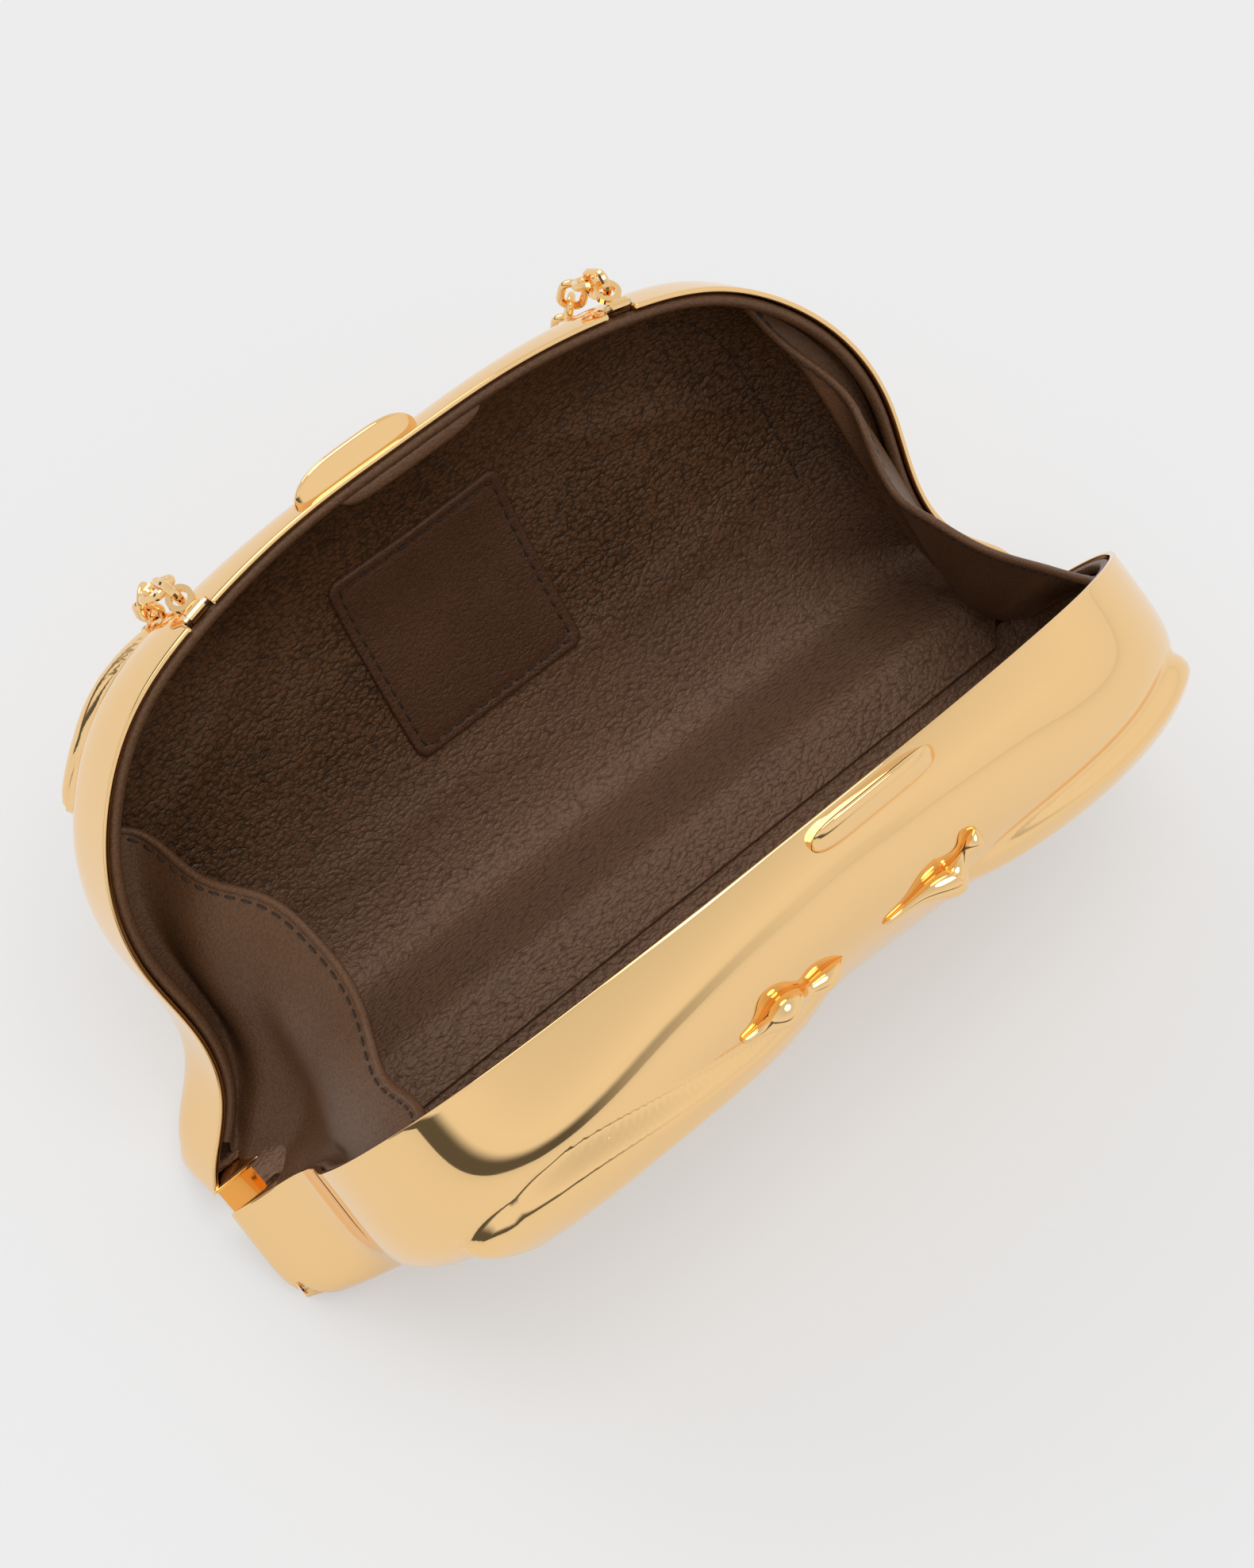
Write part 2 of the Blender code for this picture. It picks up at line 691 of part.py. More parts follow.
def bud(name, side, stations, parent):
    """A cast twig bud that lies on the face with a swelling at each station."""
    route = spline(stations, BUD_STEPS)
    places = [face_place(float(x), float(depth)) for x, depth, _ in route]
    loops = []
    for i, (place, facing) in enumerate(places):
        before = places[max(i - 1, 0)][0]
        after = places[min(i + 1, BUD_STEPS - 1)][0]
        along = (after - before).normalized()
        aside = along.cross(facing).normalized()
        closing = math.sqrt(max(1 - (2 * i / (BUD_STEPS - 1) - 1) ** BUD_END_POWER, BUD_END_SHARE))
        half = float(route[i][2]) * closing
        rise = BUD_FLATNESS_SHARE * half
        middle = place + (rise + GAP) * facing
        turns = [2 * math.pi * j / BUD_RING for j in range(BUD_RING)]
        loops.append([middle + half * math.cos(t) * aside + rise * math.sin(t) * facing for t in turns])
    points, faces = ring_solid(loops)
    return node(name, in_half(points, side), faces, GOLD, parent, 60.0)


def base_plate(parent):
    """The flat foot plate with a pair of hinge cheeks at each end of both long edges."""
    stations = [(PLATE_HALF_LENGTH * x, FOOT_DEPTH * y) for x, y in zip(PLATE_SHARES, PLATE_WIDTH_SHARES)]
    edge = spline(stations, PLATE_EDGE_STEPS)
    upper = [(x, y) for x, y in edge[::-1]] + [(-x, y) for x, y in edge[1:]]
    outline = upper + [(x, -y) for x, y in upper[::-1]]
    points, faces = ring_solid([[(x, y, level) for x, y in outline] for level in (0.0, PLATE_THICKNESS)])
    plate = node("base_plate", points, faces, GOLD, parent, 30.0)
    for end in (-1, 1):
        for side in (-1, 1):
            centre = Vector((end * HINGE_OFFSET, side * HINGE_DEPTH, PIN_HEIGHT))
            label = f"{end}_{side}"
            for flank in (-1, 1):
                middle = centre.x + flank * (KNUCKLE_LENGTH / 2 + GAP + CHEEK_THICKNESS / 2)
                loops = []
                for x in (middle - CHEEK_THICKNESS / 2, middle + CHEEK_THICKNESS / 2):
                    arch = [math.pi * i / ARCH_STEPS for i in range(ARCH_STEPS + 1)]
                    loop = [(KNUCKLE_RADIUS * math.cos(turn), KNUCKLE_RADIUS * math.sin(turn)) for turn in arch]
                    foot = PLATE_THICKNESS / 2 - centre.z
                    loop += [(-KNUCKLE_RADIUS, foot), (KNUCKLE_RADIUS, foot)]
                    loops.append([(x, centre.y + y, centre.z + z) for y, z in loop])
                points, faces = ring_solid(loops)
                boolean(plate, cutter(f"cheek_{label}_{flank}", points, faces, parent), "UNION")
            reach = Vector((PIN_LENGTH, 0.0, 0.0))
            points, faces = cylinder(centre - reach, centre + reach, PIN_RADIUS + PIN_FIT, ROUND_STEPS)
            boolean(plate, cutter(f"bore_{label}", points, faces, parent), "DIFFERENCE")
    return plate


def hinge_pin(name, end, side, parent):
    half = Vector((PIN_LENGTH / 2, 0.0, 0.0))
    centre = Vector((end * HINGE_OFFSET, side * HINGE_DEPTH, PIN_HEIGHT))
    points, faces = cylinder(centre - half, centre + half, PIN_RADIUS, ROUND_STEPS)
    return node(name, points, faces, PALE_METAL, parent)


def knuckle(name, end, side, parent):
    """A barrel on the hinge pin with a tongue up to the shell's notch."""
    half = KNUCKLE_LENGTH / 2
    middle = end * HINGE_OFFSET
    points, faces = pipe((middle - half, 0, 0), (middle + half, 0, 0), KNUCKLE_RADIUS, PIN_RADIUS + PIN_FIT, ROUND_STEPS)
    barrel = node(name, points, faces, PALE_METAL, parent)
    low = (KNUCKLE_RADIUS + PIN_RADIUS + PIN_FIT) / 2
    high = NOTCH_RISE - BOTTOM_DROP - GAP
    far = KNUCKLE_RADIUS + KNUCKLE_REACH
    sides = sorted((-side * PIN_RADIUS, side * far))
    tongue, rounds = box((middle - half + PIN_FIT, sides[0], low), (middle + half - PIN_FIT, sides[1], high))
    boolean(barrel, cutter(f"{name}_tongue", tongue, rounds, parent), "UNION")
    return barrel


def hinge_notch(end, side, parent):
    half = KNUCKLE_LENGTH / 2 + GAP + CHEEK_THICKNESS + 2 * GAP
    near = -(KNUCKLE_RADIUS + GAP)
    sides = sorted((side * near, side * FOOT_DEPTH))
    lows = (end * HINGE_OFFSET - half, sides[0], -FOOT_DEPTH)
    highs = (end * HINGE_OFFSET + half, sides[1], NOTCH_RISE - BOTTOM_DROP)
    points, faces = box(lows, highs)
    return cutter(f"hinge_notch_{end}_{side}", points, faces, parent)


def lug_frame(end, parent):
    """An empty on the lug pin: its x runs along the rim, its z points out of the case."""
    x = end * LUG_X
    near = outline_height(np.array([x - GAP, x, x + GAP]), 0.0)
    along = Vector((2 * GAP, 0.0, near[2] - near[0])).normalized()
    outward = Vector((-along.z, 0.0, along.x))
    back = Vector((0.0, 1.0, 0.0))
    place = Vector((x, LUG_DEPTH - HINGE_DEPTH, near[1] - BOTTOM_DROP)) + LUG_OUTSET * outward
    matrix = Matrix.Translation(place) @ Matrix((along, back, outward)).transposed().to_4x4()
    return empty(f"lug_frame_{SIDE_NAMES[end]}", parent, matrix)


def lug_notch(end, frame):
    width, depth = LUG_NOTCH
    points, faces = box((-width / 2, -2 * depth, -depth), (width / 2, depth - LUG_DEPTH, depth))
    return cutter(f"lug_notch_{SIDE_NAMES[end]}", points, faces, frame)


def lug_eye(name, frame):
    """A sleeve on the lug pin with a flat eye, leaning back out of the case."""
    half = SLEEVE_LENGTH / 2
    points, faces = pipe((-half, 0, 0), (half, 0, 0), SLEEVE_RADIUS, LUG_PIN_RADIUS + PIN_FIT, ROUND_STEPS)
    eye = node(name, points, faces, GOLD, frame)
    tilt = Matrix.Rotation(-EYE_TILT, 4, "X")
    thick = EYE_THICKNESS / 2
    centre = Vector((0, 0, EYE_REACH))
    ends = [centre - Vector((0, thick, 0)), centre + Vector((0, thick, 0))]
    plate, rounds = pipe(*ends, EYE_RING_RADIUS, EYE_HOLE_RADIUS, EYE_STEPS)
    boolean(eye, cutter(f"{name}_plate", [tilt @ Vector(p) for p in plate], rounds, frame), "UNION")
    return eye


def link(name, frame):
    """An oval link of round wire: it pivots on the frame's origin and is long along its z."""
    straight = (LINK_LENGTH - LINK_WIDTH) / 2
    bend = LINK_WIDTH / 2 - LINK_WIRE
    middle = Vector((0.0, 0.0, straight + LINK_SHIFT))
    loops = []
    for i in range(LINK_STEPS):
        turn = 2 * math.pi * (i + 0.5) / LINK_STEPS
        spoke = Vector((math.cos(turn), 0.0, math.sin(turn)))
        place = middle + bend * spoke + Vector((0.0, 0.0, math.copysign(straight, math.sin(turn))))
        turns = [2 * math.pi * j / LINK_RING for j in range(LINK_RING)]
        loops.append([place + LINK_WIRE * (math.cos(t) * spoke + Vector((0.0, math.sin(t), 0.0))) for t in turns])
    points, faces = torus_solid(loops)
    return node(name, points, faces, GOLD, frame, 80.0)


def chain_fittings(end, half):
    """Pin, swinging eye and two free links at one end of the chain strap. Returns the last link's tip frame."""
    side = SIDE_NAMES[end]
    frame = lug_frame(end, half)
    reach = Vector((LUG_NOTCH[0] / 2 - GAP, 0.0, 0.0))
    points, faces = cylinder(-reach, reach, LUG_PIN_RADIUS, ROUND_STEPS)
    node(f"lug_pin_{side}", points, faces, PALE_METAL, frame)
    lug_eye(f"lug_eye_{side}", frame)
    ring = EYE_REACH + (EYE_RING_RADIUS + EYE_HOLE_RADIUS) / 2
    tilted = Matrix.Rotation(-EYE_TILT, 4, "X")
    upright = Matrix.Rotation(math.pi / 2, 4, "Z")
    first = tilted @ Matrix.Translation((0, 0, ring)) @ Matrix.Rotation(-LINK_DROP, 4, "X") @ upright
    first_frame = empty(f"link_1_frame_{side}", frame, first)
    link(f"link_1_{side}", first_frame)
    tip = LINK_LENGTH - LINK_WIDTH / 2 - LINK_WIRE + LINK_SHIFT
    second = Matrix.Translation((0, 0, tip)) @ Matrix.Rotation(end * LINK_TURN, 4, "X") @ upright
    second_frame = empty(f"link_2_frame_{side}", first_frame, second)
    link(f"link_2_{side}", second_frame)
    return empty(f"link_2_tip_{side}", second_frame, Matrix.Translation((0, 0, tip)))


def chain_strap(tips, parent):
    """The chain that drops from the last links and lies behind the case."""
    bpy.context.view_layer.update()
    ends = [parent.matrix_world.inverted() @ tip.matrix_world.translation for tip in tips]
    floor = CHAIN_RADIUS + CHAIN_FLOOR_GAP
    starts = [end + Vector((0.0, CHAIN_START_BACK, -CHAIN_START_DROP)) for end in ends]
    route = [starts[0], starts[0].lerp(Vector((starts[0].x, CHAIN_FLOOR[0][1], floor)), CHAIN_DROP_SHARE)]
    route += [Vector((x, y, floor)) for x, y in CHAIN_FLOOR]
    route += [starts[1].lerp(Vector((starts[1].x, CHAIN_FLOOR[-1][1], floor)), CHAIN_DROP_SHARE), starts[1]]
    path = spline([tuple(point) for point in route], CHAIN_POINTS)
    path[:, 2] = np.maximum(path[:, 2], floor)
    return tube("chain_strap", path, CHAIN_RADIUS, GOLD, parent)


def half_matrix(side):
    return Matrix.Translation((0.0, side * HINGE_DEPTH, PIN_HEIGHT)) @ Matrix.Rotation(-side * LEAN, 4, "X")


def gusset(name, end, parent):
    """A folded leather web between the two halves at one end."""
    inset = WALL + GAP + LINING_THICKNESS
    halves = {side: half_matrix(side) for side in (-1, 1)}
    heights = np.linspace(GUSSET_BOTTOM_HEIGHT, GUSSET_TOP_HEIGHT, GUSSET_ROWS + 1)
    points = []
    for offset in (-GUSSET_THICKNESS / 2, GUSSET_THICKNESS / 2):
        for height in heights:
            x = end * (side_x(height, inset) - GUSSET_WALL_SPACE - GUSSET_THICKNESS)
            edges = []
            for side in (-1, 1):
                place = in_half([(x, GUSSET_DEPTH, height)], side)[0]
                edges.append(halves[side] @ Vector(place))
            rise = (height - GUSSET_BOTTOM_HEIGHT) / (GUSSET_TOP_HEIGHT - GUSSET_BOTTOM_HEIGHT)
            fold = GUSSET_FOLD_IN * (GUSSET_FOLD_FOOT_SHARE + (1 - GUSSET_FOLD_FOOT_SHARE) * rise)
            for across in np.linspace(-1.0, 1.0, GUSSET_COLUMNS + 1):
                middle = 1 - across**2
                place = edges[0].lerp(edges[1], (across + 1) / 2)
                place += Vector((offset - end * fold * middle, 0.0, -GUSSET_FOLD_DROP * rise * middle))
                points.append(place)
    columns = GUSSET_COLUMNS + 1
    layer = columns * (GUSSET_ROWS + 1)
    faces = []
    for row in range(GUSSET_ROWS):
        for column in range(GUSSET_COLUMNS):
            a = row * columns + column
            quad = (a, a + 1, a + 1 + columns, a + columns)
            faces.append(quad)
            faces.append(tuple(layer + i for i in quad[::-1]))
    rim = list(range(columns))
    rim += [row * columns + columns - 1 for row in range(1, GUSSET_ROWS + 1)]
    rim += [GUSSET_ROWS * columns + column for column in range(columns - 2, -1, -1)]
    rim += [row * columns for row in range(GUSSET_ROWS - 1, 0, -1)]
    for a, b in zip(rim, rim[1:] + rim[:1]):
        faces.append((b, a, layer + a, layer + b))
    return node(name, points, faces, LEATHER_SMOOTH, parent, 60.0)


def floor_strip(parent):
    """The leather strip that bridges the two bottom edges inside."""
    inner = WALL + GAP + LINING_THICKNESS - BOTTOM_DROP
    crest = PIN_HEIGHT + inner * math.cos(LEAN) + HINGE_DEPTH * math.sin(LEAN) + FLOOR_LIFT
    half = FLOOR_LENGTH / 2
    across = np.linspace(-FLOOR_WIDTH / 2, FLOOR_WIDTH / 2, FLOOR_STEPS + 1)
    levels = crest - math.tan(LEAN) * (np.hypot(across, FLOOR_CROWN) - FLOOR_CROWN)
    loops = []
    for x in np.linspace(-half, half, FLOOR_STEPS + 1):
        under = [(x, y, z) for y, z in zip(across, levels)]
        over = [(x, y, z + FLOOR_THICKNESS) for y, z in zip(across[::-1], levels[::-1])]
        loops.append(under + over)
    points, faces = ring_solid(loops)
    return node("floor_strip", points, faces, LEATHER, parent, 60.0)


def build_half(label, side, root):
    """One half of the case, leaning out on its hinge."""
    half = empty(f"{label}_half", root, half_matrix(side))
    inner = WALL + GAP
    shell = bowl(f"{label}_shell", side, 0.0, WALL, RIM_CLEARANCE, True, GOLD, half)
    lining = bowl(f"{label}_lining", side, inner, inner + LINING_THICKNESS, LINING_RIM, False, LEATHER, half)
    for end in (-1, 1):
        notch = hinge_notch(end, side, half)
        boolean(shell, notch, "DIFFERENCE")
        boolean(lining, notch, "DIFFERENCE")
        knuckle(f"{label}_knuckle_{SIDE_NAMES[end]}", end, side, half)
        hinge_pin(f"{label}_hinge_pin_{SIDE_NAMES[end]}", end, side, root)
    piping(f"{label}_piping", side, half)
    thumb_tab(f"{label}_tab", side, -side * TAB_CENTRE_X, half)
    closure_pad(f"{label}_closure_pad", side, half)
    for name, stations in BUDS.items():
        bud(f"{label}_{name}", side, stations, half)
    if side > 0:
        label_patch(lining, half)
    return half, shell


def centre_on_origin(root, left_out):
    """Moves the root so that the object without the strap stands centred on the origin."""
    bpy.context.view_layer.update()
    graph = bpy.context.evaluated_depsgraph_get()
    corners = []
    for item in bpy.context.scene.objects:
        if item.type != "MESH" or item.hide_render or item.name == left_out:
            continue
        shape = item.evaluated_get(graph)
        corners.extend(shape.matrix_world @ vertex.co for vertex in shape.data.vertices)
    spread = np.array(corners)
    middle = (spread.min(axis=0) + spread.max(axis=0)) / 2
    root.location = (-middle[0], -middle[1], 0.0)


def main():
    clear_scene()
    root = empty("clutch")
    base_plate(root)
    build_half("front", -1, root)
    back, back_shell = build_half("back", 1, root)
    tips = [chain_fittings(end, back) for end in (-1, 1)]
    for end in (-1, 1):
        frame = bpy.data.objects[f"lug_frame_{SIDE_NAMES[end]}"]
        boolean(back_shell, lug_notch(end, frame), "DIFFERENCE")
        gusset(f"gusset_{SIDE_NAMES[end]}", end, root)
    floor_strip(root)
    strap = chain_strap(tips, root)
    centre_on_origin(root, strap.name)


main()
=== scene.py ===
"""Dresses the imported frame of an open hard-case clutch in polished metal, leather and a chain."""

import itertools
import json
import math

import bmesh
import bpy
import numpy as np
from mathutils import Euler, Matrix, Vector
from mathutils.bvhtree import BVHTree


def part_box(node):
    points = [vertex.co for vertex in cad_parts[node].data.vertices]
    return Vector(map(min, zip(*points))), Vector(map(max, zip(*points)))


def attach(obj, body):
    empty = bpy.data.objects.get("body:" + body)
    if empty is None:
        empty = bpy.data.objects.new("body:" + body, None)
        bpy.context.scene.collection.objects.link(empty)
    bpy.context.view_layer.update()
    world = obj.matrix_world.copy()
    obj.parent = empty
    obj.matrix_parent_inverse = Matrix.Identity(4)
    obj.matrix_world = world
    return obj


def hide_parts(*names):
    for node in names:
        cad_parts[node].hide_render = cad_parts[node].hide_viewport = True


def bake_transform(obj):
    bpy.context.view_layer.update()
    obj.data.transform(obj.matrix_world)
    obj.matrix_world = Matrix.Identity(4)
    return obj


bl_info = {
    "name": "Hard-Case Clutch",
    "version": (1, 0, 0),
    "blender": (4, 5, 0),
    "location": "3D View > Sidebar > Clutch",
    "description": "Dresses the frame of an open hard-case clutch in polished metal, leather and a chain",
    "category": "Object",
}

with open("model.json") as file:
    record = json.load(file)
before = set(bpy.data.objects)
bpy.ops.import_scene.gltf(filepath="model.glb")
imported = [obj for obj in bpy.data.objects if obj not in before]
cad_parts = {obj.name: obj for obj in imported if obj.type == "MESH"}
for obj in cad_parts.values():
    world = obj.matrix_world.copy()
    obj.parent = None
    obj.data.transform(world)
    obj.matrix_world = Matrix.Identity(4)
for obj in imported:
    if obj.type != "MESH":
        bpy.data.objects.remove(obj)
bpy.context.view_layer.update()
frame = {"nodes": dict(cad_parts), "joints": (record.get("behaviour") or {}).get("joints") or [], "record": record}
NODES = frame["nodes"]
JOINTS = {joint["name"]: joint for joint in frame["joints"]}

# Case outline in the rim plane: right half, from the top centre to the foot corner, as (x, height)
OUTLINE = (
    (0.0, 0.0930),
    (0.0220, 0.0925),
    (0.0450, 0.0886),
    (0.0620, 0.0820),
    (0.0742, 0.0710),
    (0.0820, 0.0570),
    (0.0842, 0.0430),
    (0.0827, 0.0255),
    (0.0847, 0.0155),
    (0.0900, 0.0078),
    (0.0929, 0.0041),
    (0.0950, 0.0),
)
FACE_CENTRE_HEIGHT = 0.045
FOOT_DEPTH = 0.025
BODY_DEPTH = 0.0280
BODY_RISE = 0.045
RIM_CLEARANCE = 0.0002
WALL = 0.0010
# Degrees away from straight up, and how square the section is there
SECTION_ANGLES = (0, 30, 50, 70, 90, 105, 115.3, 126, 180)
SECTION_POWERS = (2.1, 2.3, 2.9, 5.0, 6.0, 6.0, 6.5, 8.0, 8.0)
SECTION_BLEND = math.radians(9.0)
SECTION_BLEND_STEPS = 9

# Raised petals by the degrees of their outer ends, with stations of (degrees, crease to rim, rise)
PETALS = {
    -76.0: (
        (-66.9, 0.0188, 0.0032),
        (-55.9, 0.0183, 0.0034),
        (-42.6, 0.0256, 0.0030),
        (-27.6, 0.0316, 0.0016),
        (-14.0, 0.0340, 0.0),
    ),
    83.0: (
        (77.7, 0.0196, 0.0032),
        (70.3, 0.0189, 0.0034),
        (61.7, 0.0248, 0.0032),
        (45.4, 0.0307, 0.0018),
        (34.0, 0.0330, 0.0),
    ),
}
PETAL_EDGE = 0.0030
PETAL_TOP = 0.0080
PETAL_FALL = 0.0180
PETAL_CORNER_POWER = 4.0

# Fits between the layers, and the half's place on its hinge
GAP = 0.0003
LINING_THICKNESS = 0.0012
LINING_RIM = 0.0030
PIPING_RADIUS = 0.0011
PIPING_SEGMENTS = 14
PIPING_END_HEIGHT = 0.0060
HINGE_DEPTH = 0.0175
BOTTOM_DROP = 0.0006
LEAN = math.radians(JOINTS["back_hinge"]["range_deg"][1])

# How finely the shells are drawn
SIDE_STEPS = 300
BASE_STEPS = 44
RINGS = 128
INNER_RINGS = 14
SECTION_SAMPLES = 400
OUTLINE_SAMPLES = 3001
CORNER_SAMPLES = 4001
DOME_SAMPLES = 2001
PETAL_SAMPLES = 200
RIM_BEVEL = 0.00025
RIM_BEVEL_STEPS = 4

# Stitches
STITCH_LENGTH = 0.0017
STITCH_RADIUS = 0.00021
STITCH_POINTS = 7
STITCH_SEGMENTS = 8
# In thread radii: how high a stitch arches, and how deep its ends are sunk
STITCH_LIFT = 1.4
STITCH_SUNK = 0.5
STITCH_SPAN = 0.98

# Points closer than this are one
SAME_PLACE = 1e-7
# Edges sharper than this many degrees are drawn sharp
CREASE_ANGLE = 60.0

SIDES = {"front": -1, "back": 1}
ENDS = {"left": -1, "right": 1}


# Geometry that the pieces share


def smooth(share):
    share = np.clip(share, 0.0, 1.0)
    return share * share * (3 - 2 * share)


def stacked(*parts):
    """Points from their separate parts."""
    return np.stack(np.broadcast_arrays(*parts), axis=-1)


def unit(vectors):
    """Vectors of the same directions and length one."""
    return vectors / np.linalg.norm(vectors, axis=-1)[..., None]


def fullness(share, power, root=0.5, least=0.0):
    """How full a rounded end still is, at a share of the way from the middle to the end."""
    return max(1 - abs(share) ** power, least) ** root


def run_along(points):
    """Distance of each point from the first one, along the line of points."""
    return np.concatenate([[0.0], np.cumsum(np.linalg.norm(np.diff(points, axis=0), axis=1))])


def sample(at, run, points):
    """Points at the given distances along a line of points."""
    return np.stack([np.interp(at, run, values) for values in np.transpose(points)], axis=-1)


def spline(points, count):
    """Natural cubic curve through the points, sampled evenly in chord length."""
    points = np.array(points, float)
    knots = run_along(points)
    spans = np.diff(knots)
    size = len(points)
    system = np.eye(size)
    right = np.zeros_like(points)
    slopes = np.diff(points, axis=0) / spans[:, None]
    for i in range(1, size - 1):
        system[i, i - 1] = spans[i - 1]
        system[i, i] = 2 * (spans[i - 1] + spans[i])
        system[i, i + 1] = spans[i]
        right[i] = 6 * (slopes[i] - slopes[i - 1])
    bends = np.linalg.solve(system, right)
    at = np.linspace(0.0, knots[-1], count)
    span = np.clip(np.searchsorted(knots, at, side="right") - 1, 0, size - 2)
    step = spans[span][:, None]
    late = (at - knots[span])[:, None]
    early = step - late
    return (
        (bends[span] * early**3 + bends[span + 1] * late**3) / (6 * step)
        + (points[span] / step - bends[span] * step / 6) * early
        + (points[span + 1] / step - bends[span + 1] * step / 6) * late
    )


class Outline:
    """The case outline moved inward by a distance, read as a radius about the face centre."""

    side = spline([(-x, h) for x, h in OUTLINE[:0:-1]] + list(OUTLINE), OUTLINE_SAMPLES)
    made = {}

    def __init__(self, inset):
        along = unit(np.gradient(self.side, axis=0))
        inward = np.stack([along[:, 1], -along[:, 0]], axis=1)
        curve = self.side + inset * inward
        tails = [curve[0] - 0.5 * FOOT_DEPTH * along[0], curve[-1] + 0.5 * FOOT_DEPTH * along[-1]]
        curve = np.vstack([tails[:1], curve, tails[1:]])
        about = curve - [0.0, FACE_CENTRE_HEIGHT]
        angles = np.arctan2(about[:, 0], about[:, 1])
        order = np.argsort(angles)
        self.inset = inset
        self.angles = angles[order]
        self.radii = np.linalg.norm(about, axis=1)[order]
        spread = np.linspace(0.0, self.angles[-1], CORNER_SAMPLES)
        crossed = self.side_radius(spread) * -np.cos(spread) >= FACE_CENTRE_HEIGHT - inset
        self.corner = float(spread[np.argmax(crossed)])

    @classmethod
    def at(cls, inset):
        key = round(inset, 7)
        if key not in cls.made:
            cls.made[key] = cls(inset)
        return cls.made[key]

    def side_radius(self, angle):
        return np.interp(angle, self.angles, self.radii)

    def radius(self, angle):
        """Radius at an angle from straight up, positive towards +x."""
        angle = np.arctan2(np.sin(angle), np.cos(angle))
        down = np.maximum(-np.cos(angle), 1e-9)
        base = (FACE_CENTRE_HEIGHT - self.inset) / down
        return np.where(np.abs(angle) >= self.corner, base, self.side_radius(angle))

    def loop(self):
        """Angles of one closed loop, with a point at each foot corner."""
        side = side_shares() * self.corner
        base = np.linspace(self.corner, 2 * math.pi - self.corner, BASE_STEPS + 1)[1:-1]
        return np.concatenate([side, base])


def side_shares():
    """Where the side points of a loop lie between the corners, evenly along the outline."""
    points = Outline.side
    angles = np.arctan2(points[:, 0], points[:, 1] - FACE_CENTRE_HEIGHT)
    run = run_along(points)
    chosen = np.interp(np.linspace(0.0, run[-1], SIDE_STEPS + 1), run, angles)
    return chosen / chosen[-1]


def section_power(angle):
    """How square the section is at an angle from straight up, averaged over the angles near it."""
    total = 0.0
    for step in np.linspace(-1.0, 1.0, SECTION_BLEND_STEPS):
        near = angle + step * SECTION_BLEND
        away = np.degrees(np.abs(np.arctan2(np.sin(near), np.cos(near))))
        total = total + np.interp(away, SECTION_ANGLES, SECTION_POWERS)
    return total / SECTION_BLEND_STEPS


def face_depth(height):
    """Depth of the plain outer face."""
    return FOOT_DEPTH + (BODY_DEPTH - FOOT_DEPTH) * smooth(height / BODY_RISE)


def section_points(angle, near, inset):
    """Points (x, depth, height) of the plain shell and its facings. near runs from 1 at the rim to 0."""
    radius = Outline.at(inset).radius(angle)
    power = section_power(angle)
    out = np.maximum(1 - near**power, 0.0) ** (1 / power)
    x = near * radius * np.sin(angle)
    height = FACE_CENTRE_HEIGHT + near * radius * np.cos(angle)
    full = face_depth(height) - inset - RIM_CLEARANCE
    across = near ** (power - 1) / radius
    deep = out ** (power - 1) / full
    facing = unit(stacked(across * np.sin(angle), deep, across * np.cos(angle)))
    return stacked(x, RIM_CLEARANCE + full * out, height), facing


def petal_profile(past_edge, past_crease, breadth):
    """How far a petal stands up, as a share of its rise."""
    up = np.clip(past_edge / PETAL_EDGE, 0.0, 1.0)
    down = smooth((past_crease - PETAL_EDGE - PETAL_TOP * breadth) / (PETAL_FALL * breadth + RIM_CLEARANCE))
    return up * (2 - up) * (1 - down)


def petal_rise(angle, along, radius):
    """Rise of the petals at an angle from straight up and a distance from the rim along the shell."""
    degrees = np.degrees(np.arctan2(np.sin(angle), np.cos(angle)))
    rise = np.zeros(np.broadcast(angle, along).shape)
    for end, stations in PETALS.items():
        away, creases, rises = spline(sorted(stations), PETAL_SAMPLES).T
        past_crease = along - np.interp(degrees, away, creases)
        past_end = np.radians(abs(end) - np.sign(end) * degrees) * radius
        inside = (past_crease > 0) & (past_end > 0)
        gaps = [np.where(inside, past, PETAL_EDGE) for past in (past_crease, past_end)]
        past_edge = sum(gap**-PETAL_CORNER_POWER for gap in gaps) ** (-1 / PETAL_CORNER_POWER)
        top = np.maximum(np.interp(degrees, away, rises), 0.0) + 0 * along
        profile = petal_profile(past_edge, past_crease, top / rises.max())
        rise = np.maximum(rise, np.where(inside, top * profile, 0.0))
    return rise


def shell_grid(inset, start, rings):
    """A shell's columns as angles and radii, then its rows of points, facings and distances to the rim."""
    outline = Outline.at(inset)
    angles = outline.loop()
    power = section_power(angles)
    radius = outline.radius(angles)
    rim_depth = face_depth(FACE_CENTRE_HEIGHT + radius * np.cos(angles)) - inset
    first = np.arcsin(((start - RIM_CLEARANCE) / rim_depth) ** (power / 2))
    eased = smooth(np.linspace(0.0, 1.0, SECTION_SAMPLES))
    turns = first + (math.pi / 2 - first) * eased[:, None]
    nears = np.cos(turns) ** (2 / power)
    nears[-1] = 0.0
    points = section_points(angles, nears, inset)[0]
    steps = np.linalg.norm(np.diff(points, axis=0), axis=2)
    run = np.vstack([np.zeros(len(angles)), np.cumsum(steps, axis=0)])
    chosen = np.empty((rings, len(angles)))
    along = np.empty((rings, len(angles)))
    for i in range(len(angles)):
        along[:, i] = np.linspace(0.0, run[-1, i] * (1 - 1 / (rings + 1)), rings)
        chosen[:, i] = np.interp(along[:, i], run[:, i], nears[:, i])
    points, facing = section_points(angles, chosen, inset)
    return angles, radius, points, facing, along + (start - RIM_CLEARANCE)


